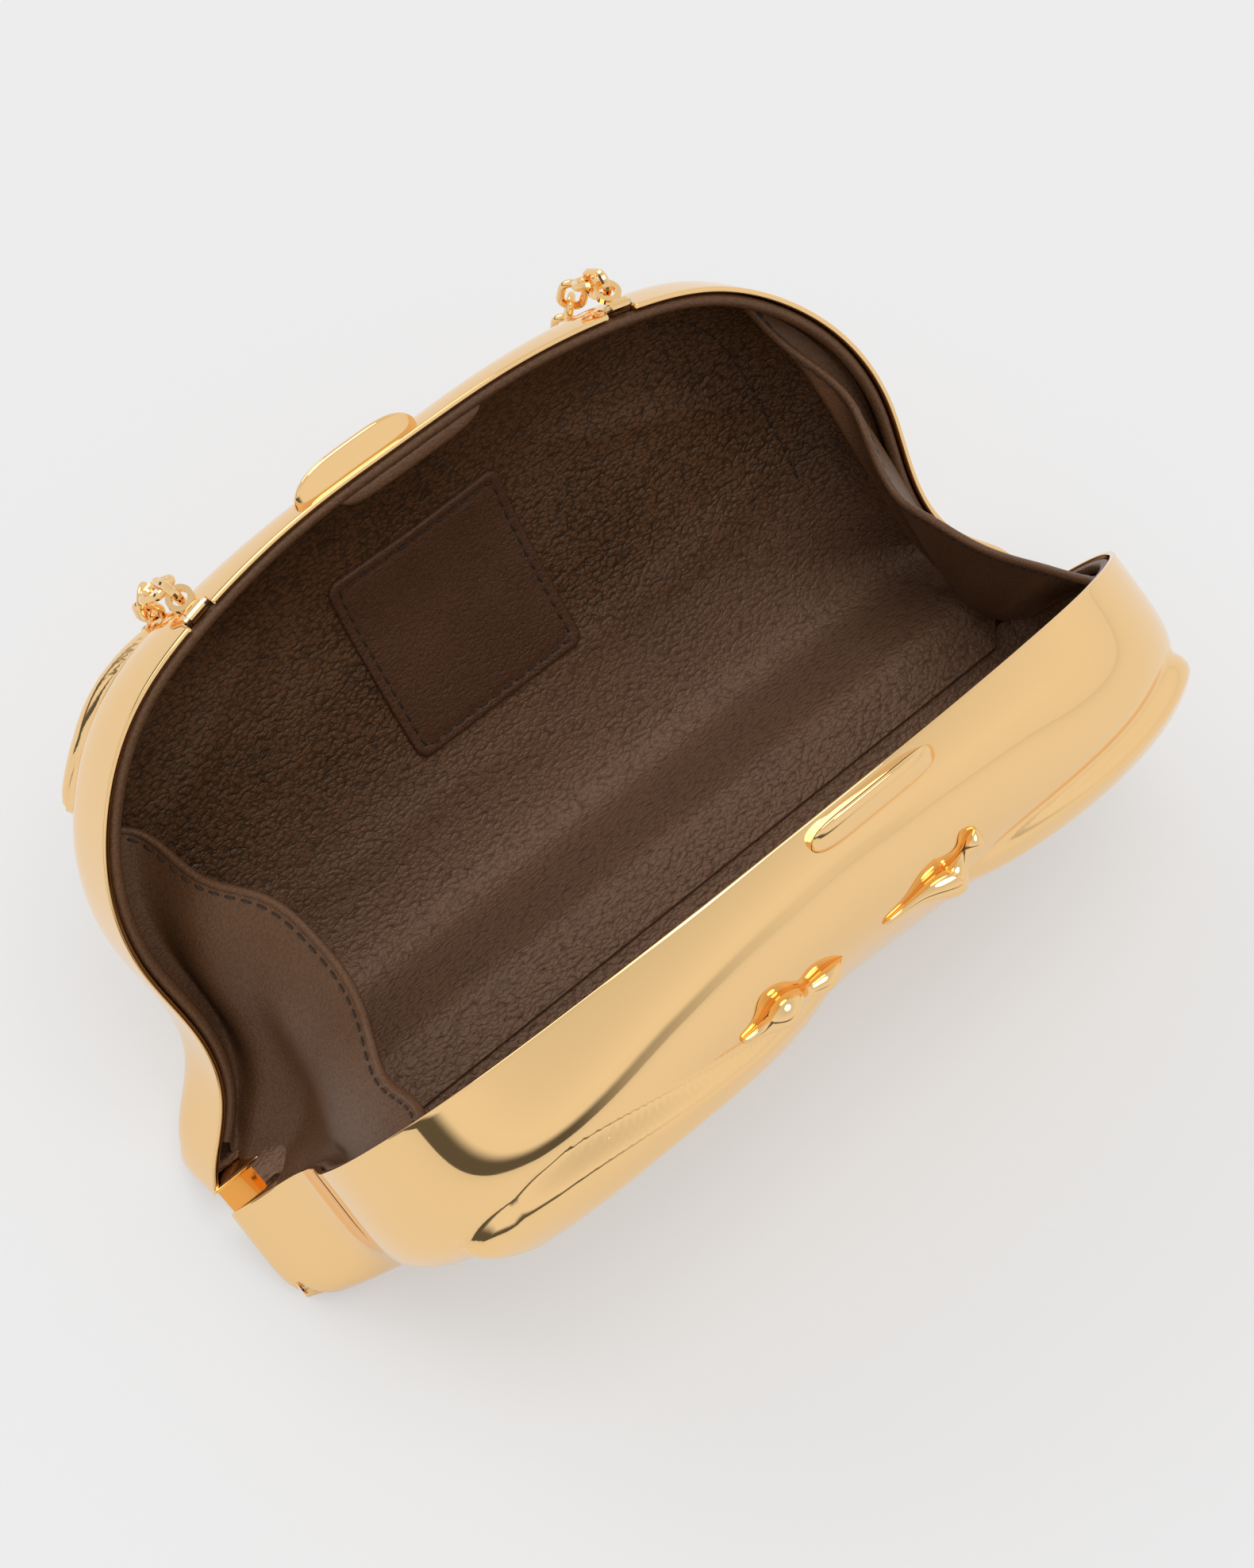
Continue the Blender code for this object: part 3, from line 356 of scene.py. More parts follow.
def half_matrix(side):
    """Place of an open half in the row frame."""
    name = "back_hinge" if side > 0 else "front_hinge"
    return Matrix.Translation(JOINTS[name]["pos_m"]) @ Matrix.Rotation(-side * LEAN, 4, "X")


def moved(points, matrix):
    """Points after a matrix."""
    matrix = np.array(matrix)
    return np.asarray(points, float) @ matrix[:3, :3].T + matrix[:3, 3]


def placed(points, side):
    """Points (x, depth, height) of a half in the row frame."""
    x, depth, height = np.moveaxis(np.asarray(points, float), -1, 0)
    return moved(stacked(x, side * (depth - HINGE_DEPTH), height - BOTTOM_DROP), half_matrix(side))


def grid_faces(rows, columns, wrap):
    """Faces between rows of points. Each row is closed to a ring where wrap is set."""
    faces = []
    for row in range(rows - 1):
        for column in range(columns if wrap else columns - 1):
            a = row * columns + column
            b = row * columns + (column + 1) % columns
            faces.append((a, b, b + columns, a + columns))
    return faces


def mesh_object(name, solid):
    """A smoothly shaded object with outward faces."""
    points, faces = solid
    mesh = bpy.data.meshes.new(name)
    mesh.from_pydata(np.asarray(points, float).reshape(-1, 3).tolist(), [], faces)
    made = bmesh.new()
    made.from_mesh(mesh)
    bmesh.ops.remove_doubles(made, verts=made.verts, dist=SAME_PLACE)
    bmesh.ops.recalc_face_normals(made, faces=made.faces)
    made.to_mesh(mesh)
    made.free()
    mesh.shade_smooth()
    built = bpy.data.objects.new(name, mesh)
    bpy.context.scene.collection.objects.link(built)
    return built


def piece(name, solid, look, sharp=180.0):
    """A piece in one of the scene's finishes."""
    built = mesh_object(name, solid)
    if sharp < 180.0:
        built.data.set_sharp_from_angle(angle=math.radians(sharp))
    built.data.materials.append(finish(look))
    return built


def join_parts(parts):
    """Points and faces of several solids as one."""
    points = []
    faces = []
    for more, rounds in parts:
        start = len(points)
        points.extend(np.asarray(more, float).reshape(-1, 3).tolist())
        faces.extend(tuple(start + i for i in face) for face in rounds)
    return points, faces


def loft_part(loops):
    """A closed solid through equal loops, with its ends capped."""
    loops = np.asarray(loops, float)
    count, ring = loops.shape[:2]
    faces = grid_faces(count, ring, True)
    faces.append(tuple(range(ring))[::-1])
    faces.append(tuple(range((count - 1) * ring, count * ring)))
    return loops.reshape(-1, 3), faces


def tray_part(rows):
    """A closed solid through equal rows, whose first and last are each filled by a fan."""
    columns = len(rows[0])
    last = (len(rows) - 1) * columns
    faces = grid_faces(len(rows), columns, True)
    for i in range(columns):
        j = (i + 1) % columns
        faces.append((j, i, last + columns))
        faces.append((last + i, last + j, last + columns + 1))
    return np.concatenate([*rows, [rows[0].mean(axis=0), rows[-1].mean(axis=0)]]), faces


def tube_part(path, radius, segments, closed=False):
    """A round run along a path, capped at its ends or closed to a ring."""
    path = np.asarray(path, float)
    if closed:
        tangents = unit(np.roll(path, -1, axis=0) - np.roll(path, 1, axis=0))
    else:
        tangents = unit(np.gradient(path, axis=0))
    side = np.cross(tangents[0], (0.0, 0.0, 1.0))
    if np.linalg.norm(side) < 1e-3:
        side = np.cross(tangents[0], (1.0, 0.0, 0.0))
    side /= np.linalg.norm(side)
    turns = np.arange(segments)[:, None] * 2 * math.pi / segments
    loops = []
    for place, tangent in zip(path, tangents):
        side = side - tangent * side.dot(tangent)
        side /= np.linalg.norm(side)
        loops.append(place + radius * (np.cos(turns) * side + np.sin(turns) * np.cross(tangent, side)))
    if not closed:
        return loft_part(loops)
    last = (len(path) - 1) * segments
    faces = grid_faces(len(path), segments, True)
    faces += [(last + i, last + (i + 1) % segments, (i + 1) % segments, i) for i in range(segments)]
    return np.concatenate(loops), faces


def box_part(lows, highs, matrix):
    points = moved(list(itertools.product(*zip(lows, highs))), matrix)
    return points, [(0, 1, 3, 2), (4, 6, 7, 5), (0, 4, 5, 1), (2, 3, 7, 6), (0, 2, 6, 4), (1, 5, 7, 3)]


def tree_of(obj):
    """A search tree of an object that stands at the row frame's origin."""
    mesh = obj.data
    return BVHTree.FromPolygons([v.co for v in mesh.vertices], [p.vertices for p in mesh.polygons])


def seat(tree, side, x, height):
    """Where a line into the half, from (x, height) in its rim plane, meets a surface, and its facing."""
    start, ahead = placed([[x, 0.0, height], [x, BODY_DEPTH, height]], side)
    place, facing, _, _ = tree.ray_cast(Vector(start), Vector(ahead - start).normalized())
    if place is None:
        raise RuntimeError(f"nothing to seat on at {x:.4f}, {height:.4f}")
    return place, facing


def stitch_row(name, places, facings, pitch, body=None):
    """A row of thread stitches along a path, each sunk a little at its ends."""
    places = np.array([tuple(place) for place in places])
    facings = np.array([tuple(facing) for facing in facings])
    run = run_along(places)
    count = int(run[-1] / pitch)
    shares = np.linspace(-1.0, 1.0, STITCH_POINTS)
    lift = STITCH_RADIUS * (STITCH_LIFT * np.sqrt(1 - (STITCH_SPAN * shares) ** 2) - STITCH_SUNK)
    parts = []
    for i in range(count):
        at = (i + 0.5) * run[-1] / count + STITCH_LENGTH * shares / 2
        path = sample(at, run, places) + lift[:, None] * sample(at, run, facings)
        parts.append(tube_part(path, STITCH_RADIUS, STITCH_SEGMENTS))
    row = piece(name, join_parts(parts), "thread")
    if body:
        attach(row, body)
    return row


# Materials


class Number:
    """A number that varies over a surface. Arithmetic on it adds Math nodes."""

    def __init__(self, surface, socket):
        self.surface = surface
        self.socket = socket

    def math(self, operation, first, second):
        made = self.surface.node("ShaderNodeMath", {"operation": operation}, {0: first, 1: second})
        return Number(self.surface, made.outputs[0])

    def __add__(self, other):
        return self.math("ADD", self, other)

    def __radd__(self, other):
        return self.math("ADD", other, self)

    def __sub__(self, other):
        return self.math("SUBTRACT", self, other)

    def __rsub__(self, other):
        return self.math("SUBTRACT", other, self)

    def __mul__(self, other):
        return self.math("MULTIPLY", self, other)

    def __rmul__(self, other):
        return self.math("MULTIPLY", other, self)

    def between(self, low, high):
        """0 below low, 1 above high, and smooth between them."""
        values = {"Value": self, "From Min": low, "From Max": high}
        ranged = self.surface.node("ShaderNodeMapRange", {"interpolation_type": "SMOOTHSTEP"}, values)
        return Number(self.surface, ranged.outputs["Result"])


class Surface:
    """The nodes of a material or a world under construction."""

    def __init__(self, owner):
        owner.use_nodes = True
        self.owner = owner
        self.tree = owner.node_tree

    def node(self, kind, settings=None, values=None):
        made = self.tree.nodes.new(kind)
        for name, value in (settings or {}).items():
            if name == "stops":
                ramp = made.color_ramp
                while len(ramp.elements) < len(value):
                    ramp.elements.new(1.0)
                for element, (place, colour) in zip(ramp.elements, value):
                    element.position = place
                    element.color = (*colour, 1.0)
            else:
                setattr(made, name, value)
        for name, value in (values or {}).items():
            self.feed(made.inputs[name], value)
        return made

    def feed(self, socket, value):
        if isinstance(value, Number):
            self.tree.links.new(value.socket, socket)
        elif isinstance(value, bpy.types.NodeSocket):
            self.tree.links.new(value, socket)
        elif socket.type == "RGBA" and len(value) == 3:
            socket.default_value = (*value, 1.0)
        else:
            socket.default_value = value

    def set(self, **values):
        shader = self.tree.nodes["Principled BSDF"]
        for name, value in values.items():
            self.feed(shader.inputs[name.replace("_", " ").title().replace("Ior", "IOR")], value)

    def place(self):
        return self.node("ShaderNodeTexCoord").outputs["Object"]

    def height(self, place):
        """The upward part of a place."""
        return Number(self, self.node("ShaderNodeSeparateXYZ", {}, {0: place}).outputs[2])

    def noise(self, scale, detail, roughness):
        values = {"Scale": scale, "Detail": detail, "Roughness": roughness, "Vector": self.place()}
        return Number(self, self.node("ShaderNodeTexNoise", {}, values).outputs["Fac"])

    def mix(self, share, first, second):
        """A colour between two colours."""
        values = {0: share, 6: first, 7: second}
        return self.node("ShaderNodeMix", {"data_type": "RGBA"}, values).outputs[2]

    def bump(self, height, strength, distance):
        values = {"Height": height, "Strength": strength, "Distance": distance}
        return self.node("ShaderNodeBump", {}, values).outputs["Normal"]


def looks():
    return bpy.context.scene.clutch_looks


def polished_gold(surface):
    """Mirror-polished plated metal with the faint unevenness of a cast and buffed surface."""
    buff = surface.noise(55.0, 2.0, 0.4)
    smear = surface.noise(900.0, 3.0, 0.6)
    dull = 0.03 * buff.between(0.45, 0.75) + 0.015 * smear
    surface.set(base_color=looks().gold_colour, metallic=1.0, roughness=looks().gold_roughness + dull)
    surface.set(normal=surface.bump(buff, 0.02, 0.002))


def pin_metal(surface):
    grain = surface.noise(1800.0, 4.0, 0.6)
    surface.set(base_color=(0.72, 0.60, 0.40), metallic=1.0, roughness=0.14 + 0.12 * grain)


# Leathers by the width of a grain cell, strength of the grain, least roughness, share of painted sheen, contrast
# of the tone with its painted grain highlight and shade
LEATHERS = {
    "grain_leather": (0.00070, 0.75, 0.30, 0.75, 0.5),
    "label_leather": (0.00045, 0.5, 0.36, 0.0, 0.2),
    "smooth_leather": (0.00040, 0.35, 0.42, 0.0, 0.2),
}
LABEL_TONE = (0.080, 0.033, 0.016)
# Painted sheen: the leather is painted paler towards the bottom of the case, between these heights
PAINTED_SHEEN_LEVELS = (0.004, 0.036)
# Colour of the painted sheen
PAINTED_SHEEN_TONE = (0.260, 0.145, 0.090)
GRAIN_STRETCH = (0.6, 1.0, 0.8)
SHEEN_TINT = (1.0, 0.80, 0.64)


def leather(surface, name, colour):
    """Fine-grained leather: small raised cells with creases between them and an uneven tone, with painted
    highlight and shade on the grain and painted sheen towards the bottom.
    """
    cell, strength, least_roughness, painted_sheen, contrast = LEATHERS[name]
    place = surface.place()
    values = {"Scale": 0.35 / cell, "Detail": 2.0, "Vector": place}
    warp = surface.node("ShaderNodeTexNoise", {}, values).outputs["Color"]
    values = {0: place, 1: GRAIN_STRETCH}
    stretched = surface.node("ShaderNodeVectorMath", {"operation": "MULTIPLY"}, values).outputs[0]
    values = {0: warp, 1: (2 * cell, 2 * cell, 2 * cell), 2: stretched}
    warped = surface.node("ShaderNodeVectorMath", {"operation": "MULTIPLY_ADD"}, values).outputs[0]
    values = {"Scale": 1.0 / cell, "Vector": warped}
    cells = Number(surface, surface.node("ShaderNodeTexVoronoi", {}, values).outputs["Distance"])
    fine = surface.noise(2.6 / cell, 3.0, 0.6)
    soft = surface.noise(0.03 / cell, 3.0, 0.55)
    height = (1.0 - cells * cells * 1.2) * 0.75 + fine * 0.5
    # Painted highlight and shade on the grain: raised cells are painted paler and creases darker; the soft noise
    # adds the leather's own uneven tone
    dark = tuple((1.0 - contrast) * part for part in colour)
    pale = tuple((1.0 + 1.6 * contrast) * part for part in colour)
    tone = surface.mix(height.between(0.55, 1.1) * 0.7 + soft.between(0.3, 0.7) * 0.3, dark, pale)
    # Painted sheen: paler colour towards the bottom of the case, stronger on the raised cells
    painted_sheen_share = (1.0 - surface.height(place).between(*PAINTED_SHEEN_LEVELS)) * (0.55 + 0.45 * height) * painted_sheen
    surface.set(base_color=surface.mix(painted_sheen_share, tone, PAINTED_SHEEN_TONE), specular_ior_level=0.5)
    surface.set(roughness=least_roughness + 0.14 * soft - 0.12 * height, specular_tint=SHEEN_TINT)
    surface.set(normal=surface.bump(height, strength, cell * 0.6))


def thread(surface):
    twist = surface.noise(2600.0, 3.0, 0.6)
    surface.set(base_color=surface.mix(twist, (0.012, 0.006, 0.004), (0.048, 0.025, 0.015)), roughness=0.7)


# Share of the floor's own light where it is seen directly, in metal or through glass
FLOOR_GLOW = 0.5
FLOOR_GLOW_TONE = (0.82, 0.82, 0.824)
FLOOR_TONE = (0.800, 0.800, 0.806)
GLOW_RAYS = ("Is Camera Ray", "Is Glossy Ray", "Is Transmission Ray")


def pale_floor(surface):
    """Matt floor that takes the object's shadow and gives a little light of its own to the eye."""
    surface.set(base_color=FLOOR_TONE, roughness=0.9)
    rays = surface.node("ShaderNodeLightPath").outputs
    direct, mirrored, through = (Number(surface, rays[name]) for name in GLOW_RAYS)
    plain = surface.tree.nodes["Principled BSDF"].outputs[0]
    glow = surface.node("ShaderNodeEmission", {}, {"Color": FLOOR_GLOW_TONE}).outputs[0]
    values = {0: (direct + mirrored + through) * FLOOR_GLOW, 1: plain, 2: glow}
    mixed = surface.node("ShaderNodeMixShader", {}, values).outputs[0]
    surface.feed(surface.tree.nodes["Material Output"].inputs["Surface"], mixed)


FINISHES = {"gold": polished_gold, "pin_metal": pin_metal, "thread": thread, "floor": pale_floor}


def finish(name):
    """The scene's one copy of a finish."""
    made = bpy.data.materials.get(f"clutch_{name}")
    if made is None:
        made = bpy.data.materials.new(f"clutch_{name}")
        if name in FINISHES:
            FINISHES[name](Surface(made))
        else:
            tones = {"grain_leather": looks().lining_colour, "smooth_leather": looks().gusset_colour}
            leather(Surface(made), name, tones.get(name, LABEL_TONE))
    return made


def colour_property(name, description, default):
    return bpy.props.FloatVectorProperty(
        name=name, description=description, subtype="COLOR", size=3, default=default, min=0.0, max=1.0
    )


def length_property(name, description, default, least):
    return bpy.props.FloatProperty(
        name=name, description=description, default=default, min=least, unit="LENGTH"
    )


class ClutchLooks(bpy.types.PropertyGroup):
    """Sizes and colours of the clutch that a user may change."""

    gold_colour: colour_property(
        "Metal Colour", "Colour of the polished metal seen straight on", (0.965, 0.645, 0.305)
    )
    gold_roughness: bpy.props.FloatProperty(
        name="Metal Roughness",
        description="How dull the polish is",
        default=0.03,
        min=0.0,
        max=1.0,
        subtype="FACTOR",
    )
    lining_colour: colour_property("Lining Colour", "Colour of the lining's leather", (0.076, 0.032, 0.012))
    gusset_colour: colour_property("Gusset Colour", "Colour of the smooth leather", (0.100, 0.044, 0.019))
    wire_radius: length_property("Link Wire Radius", "Radius of the chain's wire", 0.00075, 0.0002)
    link_length: length_property("Link Length", "Outer length of a chain link", 0.0084, 0.002)
    link_width: length_property("Link Width", "Outer width of a chain link", 0.0056, 0.001)
    stitch_pitch: length_property("Stitch Pitch", "Distance from stitch to stitch", 0.0028, 0.001)


# Camera
CAMERA_PLACE = (-0.13837, -0.22073, 0.46281)
CAMERA_TURN = (31.322, 5.264, -40.552)
CAMERA_LENS = 66.84


class CLUTCH_OT_camera(bpy.types.Operator):
    """Sets up the camera above the left front of the open clutch"""

    bl_idname = "clutch.camera"
    bl_label = "Add Camera"

    def execute(self, context):
        data = bpy.data.cameras.new("camera")
        data.lens = CAMERA_LENS
        data.sensor_fit = "AUTO"
        camera = bpy.data.objects.new("camera", data)
        camera.location = CAMERA_PLACE
        camera.rotation_euler = Euler([math.radians(turn) for turn in CAMERA_TURN])
        context.scene.collection.objects.link(camera)
        context.scene.camera = camera
        return {"FINISHED"}


# Chain strap: half of its route, from the end of the hanging links down to the floor behind the case
CHAIN_START = (0.047183, 0.063582, 0.080485)
CHAIN_FLOOR_LEVEL = 0.0027
CHAIN_FLOOR = ((0.0500, 0.0800), (0.0310, 0.0890), (0.0, 0.0830))
CHAIN_POINTS = 400
CHAIN_PATH_POINTS = 60
# The strap counts as hanging where its direction is upright by more than this share
CHAIN_STEEP = 0.7
LINK_STEPS = 28
LINK_SEGMENTS = 10
# Each link is turned by this about the strap, to one side and the other in turn
LINK_TURN = math.radians(45)


def chain_route():
    """Points of the strap's route from its left end to its right end."""
    start = Vector(CHAIN_START)
    down = start.lerp(Vector((start.x, CHAIN_FLOOR[0][1], CHAIN_FLOOR_LEVEL)), 0.5)
    right = [start, down] + [Vector((x, y, CHAIN_FLOOR_LEVEL)) for x, y in CHAIN_FLOOR]
    left = [Vector((-point.x, point.y, point.z)) for point in right]
    route = spline([tuple(point) for point in left + right[-2::-1]], CHAIN_POINTS)
    route[:, 2] = np.maximum(route[:, 2], CHAIN_FLOOR_LEVEL)
    return route


def link_part(centre, along, across, length, width, wire):
    """One oval link of round wire, long along `along` and wide along `across`."""
    straight = (length - width) / 2
    bend = width / 2 - wire
    path = []
    for i in range(LINK_STEPS):
        turn = 2 * math.pi * (i + 0.5) / LINK_STEPS
        reach = bend * math.sin(turn) + math.copysign(straight, math.sin(turn))
        path.append(centre + reach * along + bend * math.cos(turn) * across)
    return tube_part(path, wire, LINK_SEGMENTS, closed=True)


class CLUTCH_OT_chain(bpy.types.Operator):
    """Builds the chain strap as a row of interlocked oval links"""

    bl_idname = "clutch.chain"
    bl_label = "Add Chain Strap"

    def execute(self, context):
        route = chain_route()
        run = run_along(route)
        length, width, wire = looks().link_length, looks().link_width, looks().wire_radius
        pitch = length - 4 * wire
        count = int((run[-1] - length) // pitch) + 1
        first = (run[-1] - (count - 1) * pitch) / 2
        parts = []
        for i in range(count):
            at = first + i * pitch
            behind, centre, ahead = sample([at - pitch / 2, at, at + pitch / 2], run, route)
            along = (ahead - behind) / np.linalg.norm(ahead - behind)
            side = np.cross(along, (0.0, 1.0, 0.0) if abs(along[2]) > CHAIN_STEEP else (0.0, 0.0, 1.0))
            side /= np.linalg.norm(side)
            turn = LINK_TURN if i % 2 else -LINK_TURN
            across = math.cos(turn) * side + math.sin(turn) * np.cross(along, side)
            parts.append(link_part(centre, along, across, length, width, wire))
        strap = piece("chain_strap_links", join_parts(parts), "gold")
        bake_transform(strap)
        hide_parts("chain_strap")
        path = [tuple(point) for point in route[:: CHAIN_POINTS // CHAIN_PATH_POINTS]] + [tuple(route[-1])]
        return {"FINISHED"}


# Hinge notches and lug notches in the shells
NOTCH_HALF_LENGTH = 0.0033
NOTCH_RISE = 0.0029
KNUCKLE_CLEARANCE = 0.0015
LUG_NOTCH = (0.0056, 0.0030)
LUG_DEPTH = 0.0014


def cut(target, solid, name):
    """Takes a solid away from a mesh object and leaves the result in its mesh."""
    tool = mesh_object(name, solid)
    modifier = target.modifiers.new(name, "BOOLEAN")
    modifier.operation = "DIFFERENCE"
    modifier.solver = "EXACT"
    modifier.object = tool
    graph = bpy.context.evaluated_depsgraph_get()
    mesh = bpy.data.meshes.new_from_object(target.evaluated_get(graph))
    target.modifiers.remove(modifier)
    target.data = mesh
    bpy.data.objects.remove(tool, do_unlink=True)


def hinge_x():
    """How far the hinges are from the middle."""
    low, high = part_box("back_knuckle_right")
    return (low.x + high.x) / 2


def lug_matrix(end):
    """Place of a chain lug on the back rim, with x along its pin, y into the half and z outward."""
    joint = JOINTS["eye_left_swing" if end < 0 else "eye_right_swing"]
    along = Vector(joint["axis"]).normalized()
    back = half_matrix(1).to_3x3() @ Vector((0.0, 1.0, 0.0))
    outward = along.cross(back).normalized()
    return Matrix.Translation(joint["pos_m"]) @ Matrix((along, back, outward)).transposed().to_4x4()


def rim_row(inset, depth):
    """One closed row of points along the outline moved inward, at a depth."""
    outline = Outline.at(inset)
    angles = outline.loop()
    radius = outline.radius(angles)
    height = FACE_CENTRE_HEIGHT + radius * np.cos(angles)
    return stacked(radius * np.sin(angles), depth, height)


def shell_rows(outer):
    """Rows of a shell: its outer rows, then a rounded rim and plain inner rows."""
    rows = list(outer[::-1])
    steps = range(RIM_BEVEL_STEPS + 1)
    for way, step in [(1, step) for step in steps[1:]] + [(-1, step) for step in steps[::-1]]:
        turn = math.pi / 2 * step / RIM_BEVEL_STEPS
        inset = way * RIM_BEVEL * (1 - math.cos(turn)) + (0.0 if way > 0 else WALL)
        rows.append(rim_row(inset, RIM_CLEARANCE + RIM_BEVEL * (1 - math.sin(turn))))
    return rows + list(shell_grid(WALL, RIM_CLEARANCE + RIM_BEVEL, INNER_RINGS)[2][1:])


class CLUTCH_OT_shells(bpy.types.Operator):
    """Builds the two polished shells with their raised petals"""

    bl_idname = "clutch.shells"
    bl_label = "Add Shells"

    def execute(self, context):
        for label, side in SIDES.items():
            angles, radius, points, facing, along = shell_grid(0.0, RIM_CLEARANCE + RIM_BEVEL, RINGS)
            points = points + petal_rise(angles, along, radius)[..., None] * facing
            solid = tray_part([placed(row, side) for row in shell_rows(points)])
            shell = piece(f"{label}_shell_polished", solid, "gold")
            for end in ENDS.values():
                middle = end * hinge_x()
                near, far = sorted((-side * KNUCKLE_CLEARANCE, side * FOOT_DEPTH))
                lows = (middle - NOTCH_HALF_LENGTH, near, -FOOT_DEPTH)
                highs = (middle + NOTCH_HALF_LENGTH, far, NOTCH_RISE - BOTTOM_DROP)
                cut(shell, box_part(lows, highs, half_matrix(side)), "hinge_notch")
                if side > 0:
                    width, depth = LUG_NOTCH
                    lows = (-width / 2, -2 * depth, -depth)
                    highs = (width / 2, depth - LUG_DEPTH, depth)
                    cut(shell, box_part(lows, highs, lug_matrix(end)), "lug_notch")
            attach(shell, f"{label}_half")
            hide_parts(f"{label}_shell")
        return {"FINISHED"}


# Soft folds of the linings' faces: x and height of the middle, half length, half width, tilt, rise
LINING_FOLDS = {
    "front": (
        (-0.012, 0.074, 0.052, 0.0030, -4.0, 0.00085),
        (0.010, 0.063, 0.058, 0.0036, 3.0, 0.00075),
        (-0.020, 0.051, 0.045, 0.0040, -3.0, 0.00055),
        (0.030, 0.042, 0.035, 0.0045, 6.0, 0.00045),
        (-0.052, 0.058, 0.022, 0.0030, 24.0, 0.00060),
        (0.056, 0.060, 0.020, 0.0034, -22.0, 0.00060),
    ),
    "back": (
        (0.048, 0.058, 0.020, 0.0030, -28.0, 0.00060),
        (-0.046, 0.060, 0.018, 0.0034, 26.0, 0.00050),
        (0.040, 0.030, 0.030, 0.0040, 8.0, 0.00045),
        (-0.030, 0.022, 0.040, 0.0036, -5.0, 0.00040),
    ),
}
LINING_RINGS = 120
# The folds lie past this share of the depth, and fade in over the same share
FOLD_DEPTH_SHARE = 0.4
FOLD_SWAY = 0.0012
FOLD_SWAY_LENGTH = 0.009
FOLD_SWAY_SHIFT = 0.003


def fold_rise(folds, x, height):
    """How far the folds lift the leather at a place of the face."""
    rise = 0.0
    for middle, level, length, width, tilt, top in folds:
        turn = math.radians(tilt)
        along = (x - middle) * math.cos(turn) + (height - level) * math.sin(turn)
        across = (height - level) * math.cos(turn) - (x - middle) * math.sin(turn)
        across = across + FOLD_SWAY * np.sin(along / FOLD_SWAY_LENGTH + middle / FOLD_SWAY_SHIFT)
        rise = rise + top * np.exp(-((along / length) ** 4) - (across / width) ** 2)
    return rise


def lining_part(side, folds):
    """Points and faces of a lining whose inner face is softly folded."""
    inset = WALL + GAP
    start = LINING_RIM + RIM_BEVEL
    outer = shell_grid(inset, start, RINGS // 2)[2]
    inner, facing = shell_grid(inset + LINING_THICKNESS, start, LINING_RINGS)[2:4]
    fade = FOLD_DEPTH_SHARE * BODY_DEPTH
    lift = fold_rise(folds, inner[..., 0], inner[..., 2]) * smooth((inner[..., 1] - fade) / fade)
    return tray_part([placed(row, side) for row in (*outer[::-1], *(inner - lift[..., None] * facing))])


class CLUTCH_OT_linings(bpy.types.Operator):
    """Builds the grained leather linings with their soft folds"""

    bl_idname = "clutch.linings"
    bl_label = "Add Linings"

    def execute(self, context):
        for label, side in SIDES.items():
            solid = lining_part(side, LINING_FOLDS[label])
            lining = piece(f"{label}_lining_leather", solid, "grain_leather")
            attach(lining, f"{label}_half")
            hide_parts(f"{label}_lining")
        return {"FINISHED"}


class CLUTCH_OT_pipings(bpy.types.Operator):
    """Builds the rolled leather edges inside the rims"""

    bl_idname = "clutch.pipings"
    bl_label = "Add Rolled Edges"

    def execute(self, context):
        for label, side in SIDES.items():
            outline = Outline.at(WALL + GAP + PIPING_RADIUS)
            angles = side_shares() * outline.corner
            radius = outline.radius(angles)
            height = FACE_CENTRE_HEIGHT + radius * np.cos(angles)
            keep = height > PIPING_END_HEIGHT
            depth = RIM_CLEARANCE + GAP + PIPING_RADIUS
            path = placed(stacked(radius * np.sin(angles), depth, height)[keep], side)
            solid = tube_part(path, PIPING_RADIUS, PIPING_SEGMENTS)
            roll = piece(f"{label}_rolled_edge", solid, "smooth_leather", CREASE_ANGLE)
            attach(roll, f"{label}_half")
            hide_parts(f"{label}_piping")
        return {"FINISHED"}


# Closure pads under the rims
PAD_LENGTH = 0.0300
PAD_THICKNESS = 0.0030
PAD_DEPTHS = (0.0008, 0.0066)
PAD_STEPS = 60
PAD_RING = 28
PAD_END_POWER = 5
PAD_END_LEAST = 0.004
PAD_CREASE_ANGLE = 70.0
# How square the pad's section is, across and down
PAD_SECTION_ROOTS = (0.5, 0.6)
PAD_END_DEPTH_SHARE = 0.6


def dome_height(x, inset):
    """Height of the dome at x, for the outline moved inward."""
    outline = Outline.at(inset)
    angles = np.linspace(-math.pi / 2, math.pi / 2, DOME_SAMPLES)
    radius = outline.radius(angles)
    return np.interp(x, radius * np.sin(angles), FACE_CENTRE_HEIGHT + radius * np.cos(angles))


